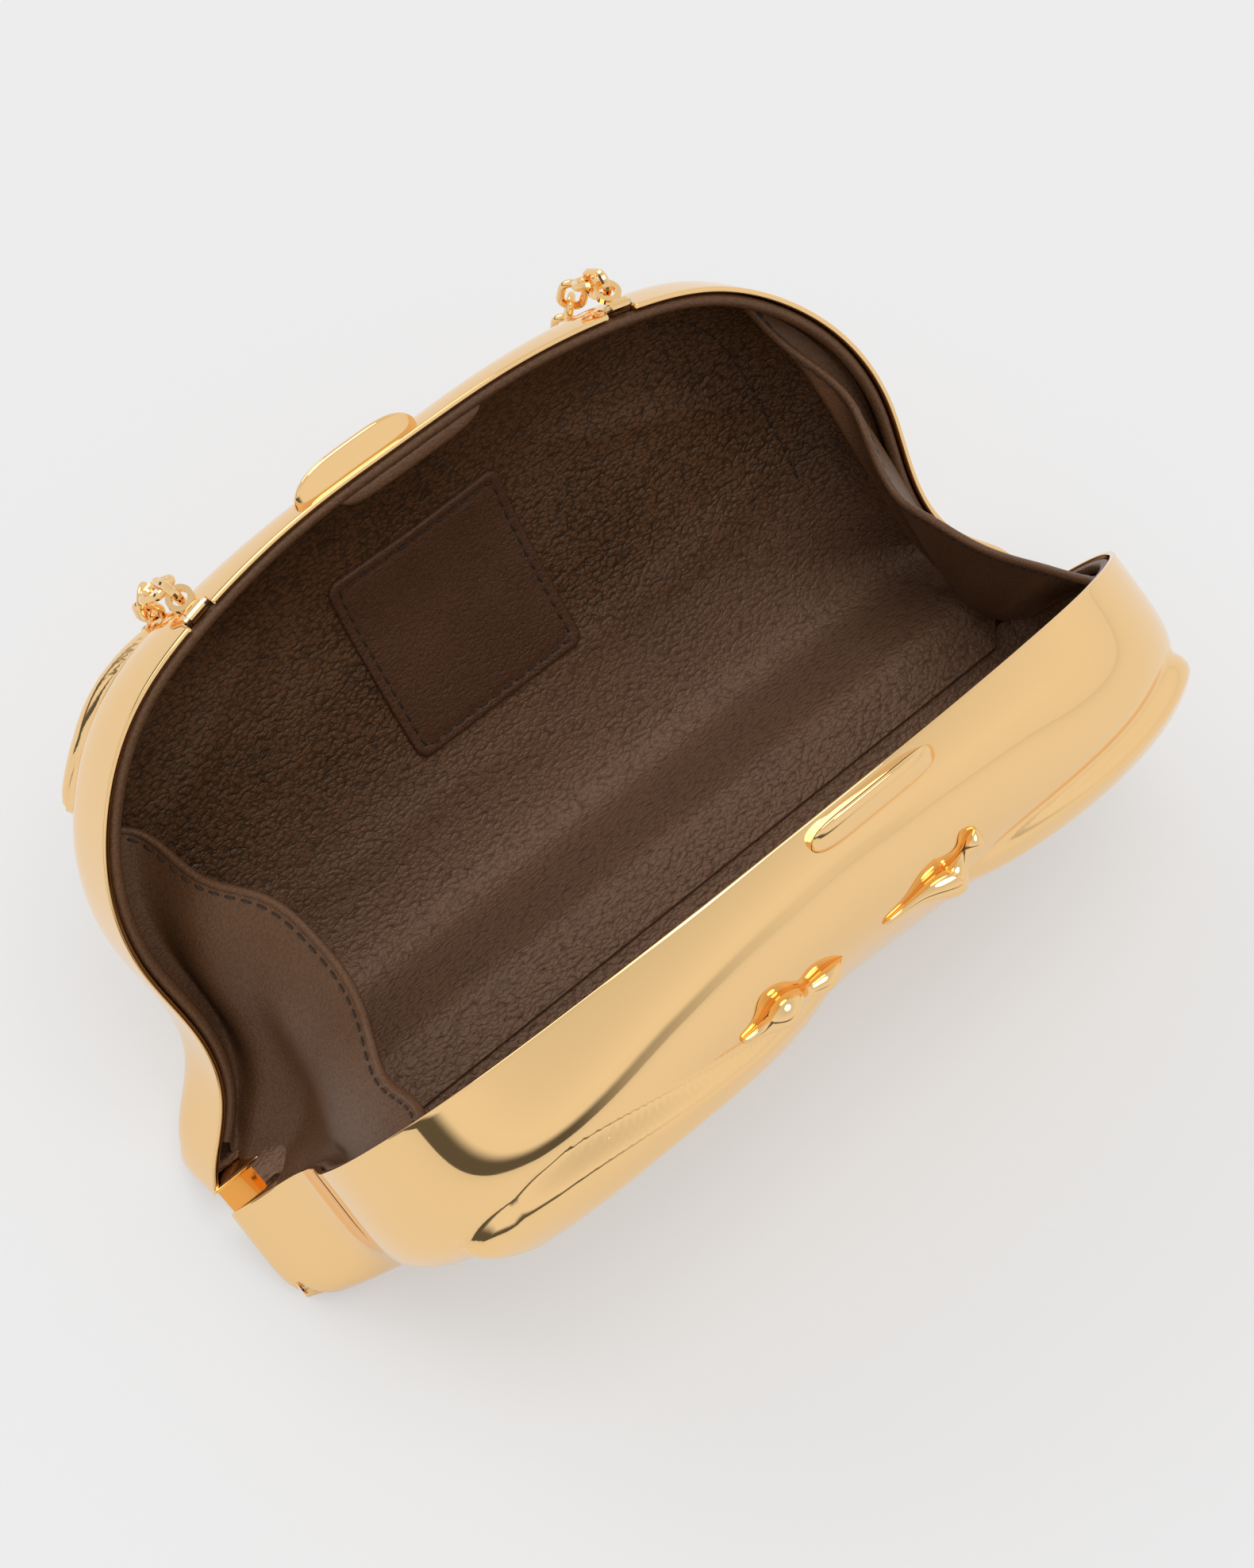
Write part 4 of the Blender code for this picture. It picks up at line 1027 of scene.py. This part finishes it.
class CLUTCH_OT_closure_pads(bpy.types.Operator):
    """Builds the leather-covered bars under the rims that hide the closing magnets"""

    bl_idname = "clutch.closure_pads"
    bl_label = "Add Closure Pads"

    def execute(self, context):
        near, far = PAD_DEPTHS
        turns = np.arange(PAD_RING) * 2 * math.pi / PAD_RING
        ways = (np.cos(turns), np.sin(turns))
        across, down = (np.sign(way) * np.abs(way) ** root for way, root in zip(ways, PAD_SECTION_ROOTS))
        for label, side in SIDES.items():
            loops = []
            for share in np.linspace(-1.0, 1.0, PAD_STEPS):
                x = share * PAD_LENGTH / 2
                upper = dome_height(x, WALL + GAP + 2 * PIPING_RADIUS) + PIPING_RADIUS / 2
                full = fullness(share, PAD_END_POWER, least=PAD_END_LEAST)
                wide = PAD_END_DEPTH_SHARE + (1 - PAD_END_DEPTH_SHARE) * full
                depth = (near + far) / 2 + (far - near) / 2 * across * wide
                height = upper - PAD_THICKNESS * (1 + down) / 2 * full
                loops.append(placed(stacked(x, depth, height), side))
            pad = piece(f"{label}_pad_cover", loft_part(loops), "smooth_leather", PAD_CREASE_ANGLE)
            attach(pad, f"{label}_half")
            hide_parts(f"{label}_closure_pad")
        return {"FINISHED"}


# Label patch on the back lining
PATCH_CENTRE = (0.0005, 0.0493)
PATCH_SIZE = (0.0380, 0.0395)
PATCH_CORNER = 0.0025
PATCH_THICKNESS = 0.0010
PATCH_SEAM_INSET = 0.0019
# Steps along each corner and each side
PATCH_BORDER_STEPS = (6, 26)
PATCH_SEAM_STEPS = (3, 60)
# The patch's section from the middle of its underside over its edge to the middle of its top, as
# (share of its size, share of its thickness)
PATCH_INNER_SHARES = (0.02, *np.arange(0.06, 0.80, 0.06), 0.83)
PATCH_EDGE = (
    (0.999, -0.2),
    (1.0, 0.0),
    (1.0, 0.62),
    (0.992, 0.85),
    (0.975, 0.97),
    (0.955, 1.0),
    (0.93, 0.93),
    (0.90, 0.78),
    (0.87, 0.93),
)
PATCH_UNDERSIDE = -0.3


def rounded_rectangle(width, height, corner, steps, side_steps):
    """Outline of a rectangle with rounded corners, about its own middle."""
    points = []
    for quarter, (across, up) in enumerate(((1, 1), (-1, 1), (-1, -1), (1, -1))):
        middle = np.array([across * (width / 2 - corner), up * (height / 2 - corner)])
        turns = math.pi / 2 * (quarter + np.linspace(0.0, 1.0, steps + 1))
        points.extend(middle + corner * np.stack([np.cos(turns), np.sin(turns)], axis=1))
    points.append(points[0])
    filled = []
    for start, end in zip(points, points[1:]):
        count = side_steps if np.linalg.norm(end - start) > corner else 1
        filled.extend(start + (end - start) * share for share in np.arange(count) / count)
    return np.array(filled)


class CLUTCH_OT_label_patch(bpy.types.Operator):
    """Builds the bare stitched patch on the back lining"""

    bl_idname = "clutch.label_patch"
    bl_label = "Add Label Patch"

    def execute(self, context):
        lining = tree_of(bpy.data.objects["back_lining_leather"])
        border = rounded_rectangle(*PATCH_SIZE, PATCH_CORNER, *PATCH_BORDER_STEPS)
        section = [(share, PATCH_UNDERSIDE) for share in PATCH_INNER_SHARES]
        section += [*PATCH_EDGE, *((share, 1.0) for share in PATCH_INNER_SHARES[::-1])]
        loops = []
        for share, lift in section:
            loop = []
            for x, height in border * share + PATCH_CENTRE:
                place, facing = seat(lining, 1, x, height)
                loop.append(tuple(place + lift * PATCH_THICKNESS * facing))
            loops.append(loop)
        patch = piece("label_patch_leather", loft_part(loops), "label_leather")
        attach(patch, "back_half")
        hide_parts("label_patch")
        surface = tree_of(patch)
        seam_size = [size - 2 * PATCH_SEAM_INSET for size in PATCH_SIZE]
        seam = rounded_rectangle(*seam_size, PATCH_CORNER / 2, *PATCH_SEAM_STEPS)
        seam = np.vstack([seam, seam[:1]]) + PATCH_CENTRE
        seated = [seat(surface, 1, x, height) for x, height in seam]
        stitch_row("label_patch_stitches", *zip(*seated), looks().stitch_pitch, "back_half")
        return {"FINISHED"}


# Seam along each end of the back lining, as (distance from the middle, height) in the rim plane
SEAM_ROUTE = (
    (0.0560, 0.0745),
    (0.0620, 0.0715),
    (0.0660, 0.0670),
    (0.0690, 0.0600),
    (0.0705, 0.0520),
    (0.0712, 0.0415),
    (0.0712, 0.0300),
)
SEAM_POINTS = 160


class CLUTCH_OT_seams(bpy.types.Operator):
    """Sews the seams of the back lining"""

    bl_idname = "clutch.seams"
    bl_label = "Add Lining Seams"

    def execute(self, context):
        lining = tree_of(bpy.data.objects["back_lining_leather"])
        for name in ("right", "left"):
            route = spline([(ENDS[name] * x, height) for x, height in SEAM_ROUTE], SEAM_POINTS)
            seated = [seat(lining, 1, x, height) for x, height in route]
            stitch_row(f"back_seam_{name}", *zip(*seated), looks().stitch_pitch, "back_half")
        return {"FINISHED"}


# Thumb tabs on the rims
TAB_LENGTH = 0.0253
TAB_RISE = 0.0048
TAB_CENTRE_X = 0.0087
TAB_DEPTHS = (0.0012, 0.0060)
TAB_SUNK = 0.0006
# The tab's section from its inner foot over the crest to its outer foot, as shares of its depth and rise
TAB_SECTION_SHARES = ((0.0, 0.0), (0.05, 0.93), (0.12, 1.0), (0.42, 0.93), (0.84, 0.62), (1.0, 0.0))
TAB_SECTION_STEPS = 60
TAB_SECTION_SMOOTHINGS = 3
TAB_STEPS = 120
# How bluntly the rise and the width run out at the tab's ends, as (power, root)
TAB_RISE_END = (4, 0.6)
TAB_WIDTH_END = (6, 0.5)
TAB_END_SHARE = 0.9995
TAB_CREASE_ANGLE = 38.0


def roof_height(x, depth):
    """Height of the shell's outside near the top of the dome."""
    share = (depth - RIM_CLEARANCE) / (face_depth(OUTLINE[0][1]) - RIM_CLEARANCE)
    power = SECTION_POWERS[0]
    fall = (1 - share**power) ** (1 / power)
    return FACE_CENTRE_HEIGHT + (dome_height(x, 0.0) - FACE_CENTRE_HEIGHT) * fall


class CLUTCH_OT_tabs(bpy.types.Operator):
    """Builds the thumb tabs on the two rims"""

    bl_idname = "clutch.tabs"
    bl_label = "Add Thumb Tabs"

    def execute(self, context):
        corners = np.array(TAB_SECTION_SHARES)
        run = run_along(corners)
        section = sample(np.linspace(0.0, run[-1], TAB_SECTION_STEPS), run, corners)
        for _ in range(TAB_SECTION_SMOOTHINGS):
            section[1:-1] = (section[:-2] + 2 * section[1:-1] + section[2:]) / 4
        for label, side in SIDES.items():
            centre = -side * TAB_CENTRE_X
            loops = []
            for turn in np.linspace(-math.pi / 2, math.pi / 2, TAB_STEPS):
                share = math.sin(turn) * TAB_END_SHARE
                x = centre + share * TAB_LENGTH / 2
                rise = TAB_RISE * fullness(share, *TAB_RISE_END)
                width = (TAB_DEPTHS[1] - TAB_DEPTHS[0]) * fullness(share, *TAB_WIDTH_END)
                start = (TAB_DEPTHS[0] + TAB_DEPTHS[1] - width) / 2
                depth = start + width * section[:, 0]
                height = roof_height(x, depth) - TAB_SUNK + (rise + TAB_SUNK) * section[:, 1]
                loops.append(placed(stacked(x, depth, height), side))
            tab = piece(f"{label}_thumb_tab", loft_part(loops), "gold", TAB_CREASE_ANGLE)
            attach(tab, f"{label}_half")
            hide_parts(f"{label}_tab")
        return {"FINISHED"}


# Twig buds on the outer faces, with stations of (x, depth, half width)
BUDS = {
    "bud_right": (
        (0.0222, 0.0178, 0.0009),
        (0.0210, 0.0186, 0.0016),
        (0.0188, 0.0198, 0.0010),
        (0.0160, 0.0210, 0.0024),
        (0.0128, 0.0208, 0.0022),
        (0.0090, 0.0209, 0.0010),
        (0.0030, 0.0212, 0.0006),
    ),
    "bud_left": (
        (-0.0268, 0.0208, 0.0008),
        (-0.0222, 0.0206, 0.0013),
        (-0.0182, 0.0198, 0.0026),
        (-0.0138, 0.0207, 0.0012),
        (-0.0105, 0.0209, 0.0017),
        (-0.0055, 0.0210, 0.0006),
    ),
}
BUD_STEPS = 110
BUD_RING = 28
BUD_SUNK = 0.30
BUD_END_POWER = 10
BUD_END_LEAST = 0.02


# Steps in which the angle of a place on the roof is found
ROOF_TRIES = 8


def roof_place(x, depth):
    """Where the dome's roof reaches a depth, and the way it faces."""
    angle = 0.0
    nears = np.cos(np.linspace(0.0, math.pi / 2, SECTION_SAMPLES))
    for _ in range(ROOF_TRIES):
        power = section_power(angle)
        points, facing = section_points(np.full(SECTION_SAMPLES, angle), nears ** (2 / power), 0.0)
        height = np.interp(depth, points[:, 1], points[:, 2])
        angle = math.atan2(x, height - FACE_CENTRE_HEIGHT)
    run = run_along(points)
    along = np.interp(depth, points[:, 1], run)
    out = sample(depth, points[:, 1], facing)
    rise = petal_rise(np.array([angle]), np.array([along]), Outline.at(0.0).radius(angle))
    return np.array([x, depth, height]) + float(rise[0]) * out, out


class CLUTCH_OT_buds(bpy.types.Operator):
    """Builds the small twig buds cast on the outer faces"""

    bl_idname = "clutch.buds"
    bl_label = "Add Buds"

    def execute(self, context):
        for label, side in SIDES.items():
            for name, stations in BUDS.items():
                route = spline(stations, BUD_STEPS)
                seats = [roof_place(x, depth) for x, depth, _ in route]
                middles = np.array([place for place, _ in seats])
                facings = np.array([facing for _, facing in seats])
                asides = np.cross(unit(np.gradient(middles, axis=0)), facings)
                turns = np.arange(BUD_RING)[:, None] * 2 * math.pi / BUD_RING
                loops = []
                for i, half in enumerate(route[:, 2]):
                    half = half * fullness(2 * i / (BUD_STEPS - 1) - 1, BUD_END_POWER, least=BUD_END_LEAST)
                    middle = middles[i] + (1 - BUD_SUNK) * half * facings[i]
                    loops.append(middle + half * (np.cos(turns) * asides[i] + np.sin(turns) * facings[i]))
                bud = piece(f"{label}_{name}_cast", loft_part(placed(loops, side)), "gold", CREASE_ANGLE)
                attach(bud, f"{label}_half")
                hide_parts(f"{label}_{name}")
        return {"FINISHED"}


# Gussets
GUSSET_THICKNESS = 0.0010
# Height and depth of each web's foot in the half
GUSSET_LOW = 0.0020
GUSSET_LOW_DEPTH = 0.0040
# Upper edge of each web from the back half to the front half, as (distance from the middle, y, z)
GUSSET_EDGES = {
    -1: (
        (0.0790, 0.0465, 0.0570),
        (0.0730, 0.0440, 0.0540),
        (0.0697, 0.0300, 0.0520),
        (0.0640, 0.0190, 0.0520),
        (0.0625, 0.0095, 0.0510),
        (0.0630, 0.0, 0.0500),
        (0.0670, -0.0120, 0.0520),
        (0.0703, -0.0200, 0.0535),
        (0.0715, -0.0330, 0.0620),
        (0.0765, -0.0410, 0.0670),
    ),
    1: (
        (0.0665, 0.0440, 0.0720),
        (0.0690, 0.0420, 0.0670),
        (0.0720, 0.0380, 0.0620),
        (0.0755, 0.0320, 0.0565),
        (0.0768, 0.0270, 0.0520),
        (0.0750, 0.0210, 0.0490),
        (0.0728, 0.0160, 0.0485),
        (0.0710, 0.0080, 0.0470),
        (0.0710, 0.0010, 0.0485),
        (0.0720, -0.0070, 0.0490),
        (0.0730, -0.0180, 0.0530),
        (0.0735, -0.0250, 0.0570),
        (0.0730, -0.0340, 0.0630),
        (0.0720, -0.0400, 0.0680),
    ),
}
GUSSET_FOOT_SHARE = 0.10
# The foot is drawn in, so that it stays inside the shells as they close
GUSSET_FOOT_DRAW = 0.0020
GUSSET_FOOT_DRAW_SHARE = 0.15
GUSSET_REACH_POWER = 0.8
# Share of each web that hangs straight from its upper edge, clear of the walls
GUSSET_HANG = {-1: 0.0, 1: 1.0}
GUSSET_HANG_SPREAD = 0.5
GUSSET_HANG_POWER = 0.32
# Slack that bulges the middle of a web: how far, then waves across and an offset, and how pointed it is
GUSSET_BULGE = (0.0050, 3.4, 0.4, 3)
# Fine ripple over it: how far, then waves across and up
GUSSET_RIPPLE = (0.0016, 15, 4)
GUSSET_ROWS = 90
GUSSET_COLUMNS = 60
GUSSET_SAMPLES = 400
# Points along the upper edge of half a web
GUSSET_EDGE_POINTS = 90
GUSSET_ROLL = 0.00080
ROLL_SEGMENTS = 16
GUSSET_SEAM_SHARE = 0.980


def wall_x(height, inset):
    """Half width of the inset outline at a height on its side."""
    outline = Outline.at(inset)
    angles = np.linspace(math.radians(30), outline.corner, DOME_SAMPLES)
    radius = outline.radius(angles)
    levels = FACE_CENTRE_HEIGHT + radius * np.cos(angles)
    return np.interp(height, levels[::-1], (radius * np.sin(angles))[::-1])


def wall_run(end, side, top, rise):
    """The web's line on a half's wall, from its foot at 0 to the end of its upper edge at 1."""
    _, out, up = half_matrix(side).inverted() @ Vector(top)
    depth, height = side * out + HINGE_DEPTH, up + BOTTOM_DROP
    heights = GUSSET_LOW + (height - GUSSET_LOW) * rise
    depths = GUSSET_LOW_DEPTH + (depth - GUSSET_LOW_DEPTH) * rise
    inset = WALL + GAP + LINING_THICKNESS + GUSSET_THICKNESS / 2
    drawn = GUSSET_FOOT_DRAW * (1 - smooth(rise / GUSSET_FOOT_DRAW_SHARE))
    return placed(stacked(end * (wall_x(heights, inset) - drawn), depths, heights), side)


def gusset_place(end, across, rise):
    """A point of the web at shares across from the back half to the front half, and up from its foot."""
    edge = spline([(end * x, y, z) for x, y, z in GUSSET_EDGES[end]], GUSSET_SAMPLES)
    top = sample(across, np.linspace(0.0, 1.0, GUSSET_SAMPLES), edge)
    ends = ((1, edge[0]), (-1, edge[-1]))
    walls = [wall_run(end, side, last, rise) for side, last in ends]
    web = walls[0] + (walls[1] - walls[0]) * across[..., None]
    swing = top - edge[0] - (edge[-1] - edge[0]) * across[..., None]
    reach = GUSSET_FOOT_SHARE + (1 - GUSSET_FOOT_SHARE) * rise**GUSSET_REACH_POWER
    web = web + swing * reach[..., None]
    feet = [wall_run(end, side, last, np.zeros_like(rise)) for side, last in ends]
    foot = feet[0] + (feet[1] - feet[0]) * across[..., None]
    straight = foot + (top - foot) * stacked(rise**GUSSET_HANG_POWER, rise, rise)
    hang = GUSSET_HANG[end] * smooth(np.sin(math.pi * across) / GUSSET_HANG_SPREAD)
    web = web + (straight - web) * hang[..., None]
    slack = rise * (1 - rise) * np.sin(math.pi * across)
    far, waves, offset, power = GUSSET_BULGE
    web[..., 0] += end * far * slack * np.sin(waves * across + offset) ** power
    far, waves_across, waves_up = GUSSET_RIPPLE
    web[..., 0] += far * slack * np.sin(waves_across * across + waves_up * rise)
    return web


def middle_share(end, rise):
    """Share across at which the web crosses the middle of the opening, for each share up."""
    shares = np.linspace(0.0, 1.0, GUSSET_SAMPLES)
    levels = (gusset_place(end, shares, np.full(GUSSET_SAMPLES, up))[:, 1] for up in rise)
    return np.array([np.interp(0.0, -level, shares) for level in levels])


def web_part(end, side):
    """Points and faces of the two skins of one half of a web."""
    rise = np.linspace(0.0, 1.0, GUSSET_ROWS)
    middle = middle_share(end, rise)[:, None]
    share = np.linspace(0.0, 1.0, GUSSET_COLUMNS)[None, :]
    across = middle * share if side > 0 else middle + (1 - middle) * share
    web = gusset_place(end, across, rise[:, None] + 0 * across)
    normal = unit(np.cross(np.gradient(web, axis=0), np.gradient(web, axis=1)))
    skins = [web + offset * GUSSET_THICKNESS * normal for offset in (-0.5, 0.5)]
    rows, columns = web.shape[:2]
    sheet = grid_faces(rows, columns, False)
    faces = [face[::-1] for face in sheet] + [tuple(rows * columns + i for i in face) for face in sheet]
    rim = list(range(columns)) + [row * columns + columns - 1 for row in range(1, rows)]
    rim += [(rows - 1) * columns + column for column in range(columns - 2, -1, -1)]
    rim += [row * columns for row in range(rows - 2, 0, -1)]
    faces += [(a, b, rows * columns + b, rows * columns + a) for a, b in zip(rim, rim[1:] + rim[:1])]
    return np.concatenate([skin.reshape(-1, 3) for skin in skins]), faces


class CLUTCH_OT_gussets(bpy.types.Operator):
    """Builds the folded leather webs at the ends, with rolled and stitched upper edges"""

    bl_idname = "clutch.gussets"
    bl_label = "Add Gussets"

    def execute(self, context):
        for name, end in ENDS.items():
            middle = middle_share(end, [1.0])[0]
            for label, side in SIDES.items():
                part = f"{name}_{label}"
                shares = (0.0, middle) if side > 0 else (middle, 1.0)
                across = np.linspace(*shares, GUSSET_EDGE_POINTS)
                edge = gusset_place(end, across, np.ones(GUSSET_EDGE_POINTS))
                seam = gusset_place(end, across, np.full(GUSSET_EDGE_POINTS, GUSSET_SEAM_SHARE))
                facing = unit(np.cross(np.gradient(seam, axis=0), edge - seam))
                roll = tube_part(edge, GUSSET_ROLL, ROLL_SEGMENTS)
                parts = [
                    piece(f"gusset_{part}", web_part(end, side), "smooth_leather", CREASE_ANGLE),
                    piece(f"gusset_roll_{part}", roll, "smooth_leather", CREASE_ANGLE),
                ]
                for skin, out in (("outer", -0.5), ("inner", 0.5)):
                    line = seam + out * GUSSET_THICKNESS * facing
                    row = f"gusset_stitches_{part}_{skin}"
                    parts.append(stitch_row(row, line, 2 * out * facing, looks().stitch_pitch))
                for item in parts:
                    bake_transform(item)
            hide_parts(f"gusset_{name}")
        return {"FINISHED"}


# Leather strip over the two bottom edges
STRIP_LENGTH = 0.1744
STRIP_HALF_WIDTH = 0.0090
# The strip narrows between these distances from the middle, to pass between the two feet
STRIP_NECK = (0.0780, 0.0850)
STRIP_END_HALF_WIDTH = 0.0022
STRIP_END_DROP = 0.0022
STRIP_THICKNESS = 0.0010
STRIP_LIFT = 0.0006
STRIP_CROWN = 0.0030
STRIP_STEPS = 24
STRIP_STATIONS = 300


class CLUTCH_OT_floor_strip(bpy.types.Operator):
    """Builds the leather strip that bridges the bottom edges inside"""

    bl_idname = "clutch.floor_strip"
    bl_label = "Add Floor Strip"

    def execute(self, context):
        inner = WALL + GAP + LINING_THICKNESS - BOTTOM_DROP
        pin = JOINTS["back_hinge"]["pos_m"][2]
        crest = pin + inner * math.cos(LEAN) + HINGE_DEPTH * math.sin(LEAN) + STRIP_LIFT
        for label, side in SIDES.items():
            loops = []
            for x in np.linspace(-STRIP_LENGTH / 2, STRIP_LENGTH / 2, STRIP_STATIONS):
                width = np.interp(abs(x), STRIP_NECK, (STRIP_HALF_WIDTH, STRIP_END_HALF_WIDTH))
                drop = np.interp(abs(x), (STRIP_NECK[0], STRIP_LENGTH / 2), (0.0, STRIP_END_DROP))
                across = side * np.linspace(0.0, width, STRIP_STEPS)
                levels = crest - math.tan(LEAN) * (np.hypot(across, STRIP_CROWN) - STRIP_CROWN) - drop
                under = [(x, y, z) for y, z in zip(across, levels)]
                loops.append(under + [(x, y, z + STRIP_THICKNESS) for _, y, z in under[::-1]])
            strip = piece(f"floor_strip_{label}", loft_part(loops), "grain_leather", CREASE_ANGLE)
            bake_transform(strip)
            if side < 0:
                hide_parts("floor_strip")
        return {"FINISHED"}


# Stage
FLOOR_SIZE = 6.0
# Brightness of the room at rising heights, from the horizon to straight above
ROOM_STOPS = ((0.0, 0.84), (0.30, 0.88), (0.60, 0.80), (0.85, 0.72), (1.0, 0.70))
# The walls are dark below these heights, left of these places across, by this share
DARK_BAND_TOP = (0.08, 0.19)
DARK_BAND_SIDE = (-0.35, 0.45)
DARK_BAND_DEPTH = 0.90
DARK_BAND_TONE = (0.03, 0.028, 0.022)
# Softboxes as (name, place, diameter, power): one behind, one overhead for the sheen of the lining
LAMPS = (("key", (-0.9, 3.7, 3.2), 3.6, 46.0), ("fill", (0.15, -0.35, 1.6), 1.0, 7.0))


def room():
    """A pale room whose walls are dark low down on the left, behind and in front."""
    world = bpy.data.worlds.new("room")
    surface = Surface(world)
    place = surface.node("ShaderNodeTexCoord").outputs["Generated"]
    side = Number(surface, surface.node("ShaderNodeSeparateXYZ", {}, {0: place}).outputs[0])
    height = surface.height(place)
    stops = [(at, (tone, tone, tone)) for at, tone in ROOM_STOPS]
    tone = surface.node("ShaderNodeValToRGB", {"stops": stops}, {0: height}).outputs[0]
    low, left = 1.0 - height.between(*DARK_BAND_TOP), 1.0 - side.between(*DARK_BAND_SIDE)
    dark = low * left * DARK_BAND_DEPTH
    background = surface.tree.nodes["Background"].inputs["Color"]
    surface.feed(background, surface.mix(dark, tone, DARK_BAND_TONE))
    return world


class CLUTCH_OT_stage(bpy.types.Operator):
    """Adds the pale floor, the room and the two softboxes"""

    bl_idname = "clutch.stage"
    bl_label = "Add Stage"

    def execute(self, context):
        half = FLOOR_SIZE / 2
        corners = [(-half, -half, 0.0), (half, -half, 0.0), (half, half, 0.0), (-half, half, 0.0)]
        floor = piece("floor", (corners, [(0, 1, 2, 3)]), "floor")
        context.scene.world = room()
        for name, place, size, power in LAMPS:
            lamp = bpy.data.lights.new(name, "AREA")
            lamp.shape = "DISK"
            lamp.size = size
            lamp.energy = power
            softbox = bpy.data.objects.new(name, lamp)
            softbox.location = place
            softbox.rotation_euler = Vector(place).to_track_quat("Z", "Y").to_euler()
            context.scene.collection.objects.link(softbox)
        context.scene.view_settings.view_transform = "Standard"
        return {"FINISHED"}


class CLUTCH_OT_fittings(bpy.types.Operator):
    """Gives the frame's own metal parts their finishes"""

    bl_idname = "clutch.fittings"
    bl_label = "Finish Metal Fittings"

    def execute(self, context):
        slots = {part["node"]: part["material_slot"] for part in frame["record"]["subparts"]}
        for name, node in NODES.items():
            if node.hide_render:
                continue
            node.data.materials.clear()
            node.data.materials.append(finish(slots[name]))
        return {"FINISHED"}


class CLUTCH_PT_panel(bpy.types.Panel):
    """Lists the clutch's pieces and looks in the sidebar"""

    bl_label = "Hard-Case Clutch"
    bl_space_type = "VIEW_3D"
    bl_region_type = "UI"
    bl_category = "Clutch"

    def draw(self, context):
        for name in ClutchLooks.__annotations__:
            self.layout.prop(context.scene.clutch_looks, name)
        for operator in OPERATORS:
            self.layout.operator(operator.bl_idname)


OPERATORS = (
    CLUTCH_OT_camera,
    CLUTCH_OT_chain,
    CLUTCH_OT_shells,
    CLUTCH_OT_linings,
    CLUTCH_OT_pipings,
    CLUTCH_OT_closure_pads,
    CLUTCH_OT_label_patch,
    CLUTCH_OT_seams,
    CLUTCH_OT_tabs,
    CLUTCH_OT_buds,
    CLUTCH_OT_gussets,
    CLUTCH_OT_floor_strip,
    CLUTCH_OT_fittings,
    CLUTCH_OT_stage,
)


def register():
    for item in (ClutchLooks, *OPERATORS, CLUTCH_PT_panel):
        bpy.utils.register_class(item)
    bpy.types.Scene.clutch_looks = bpy.props.PointerProperty(type=ClutchLooks)


def unregister():
    del bpy.types.Scene.clutch_looks
    for item in (CLUTCH_PT_panel, *OPERATORS[::-1], ClutchLooks):
        bpy.utils.unregister_class(item)


def main():
    register()
    for operator in OPERATORS:
        family, name = operator.bl_idname.split(".")
        getattr(getattr(bpy.ops, family), name)()


if __name__ == "__main__":
    main()
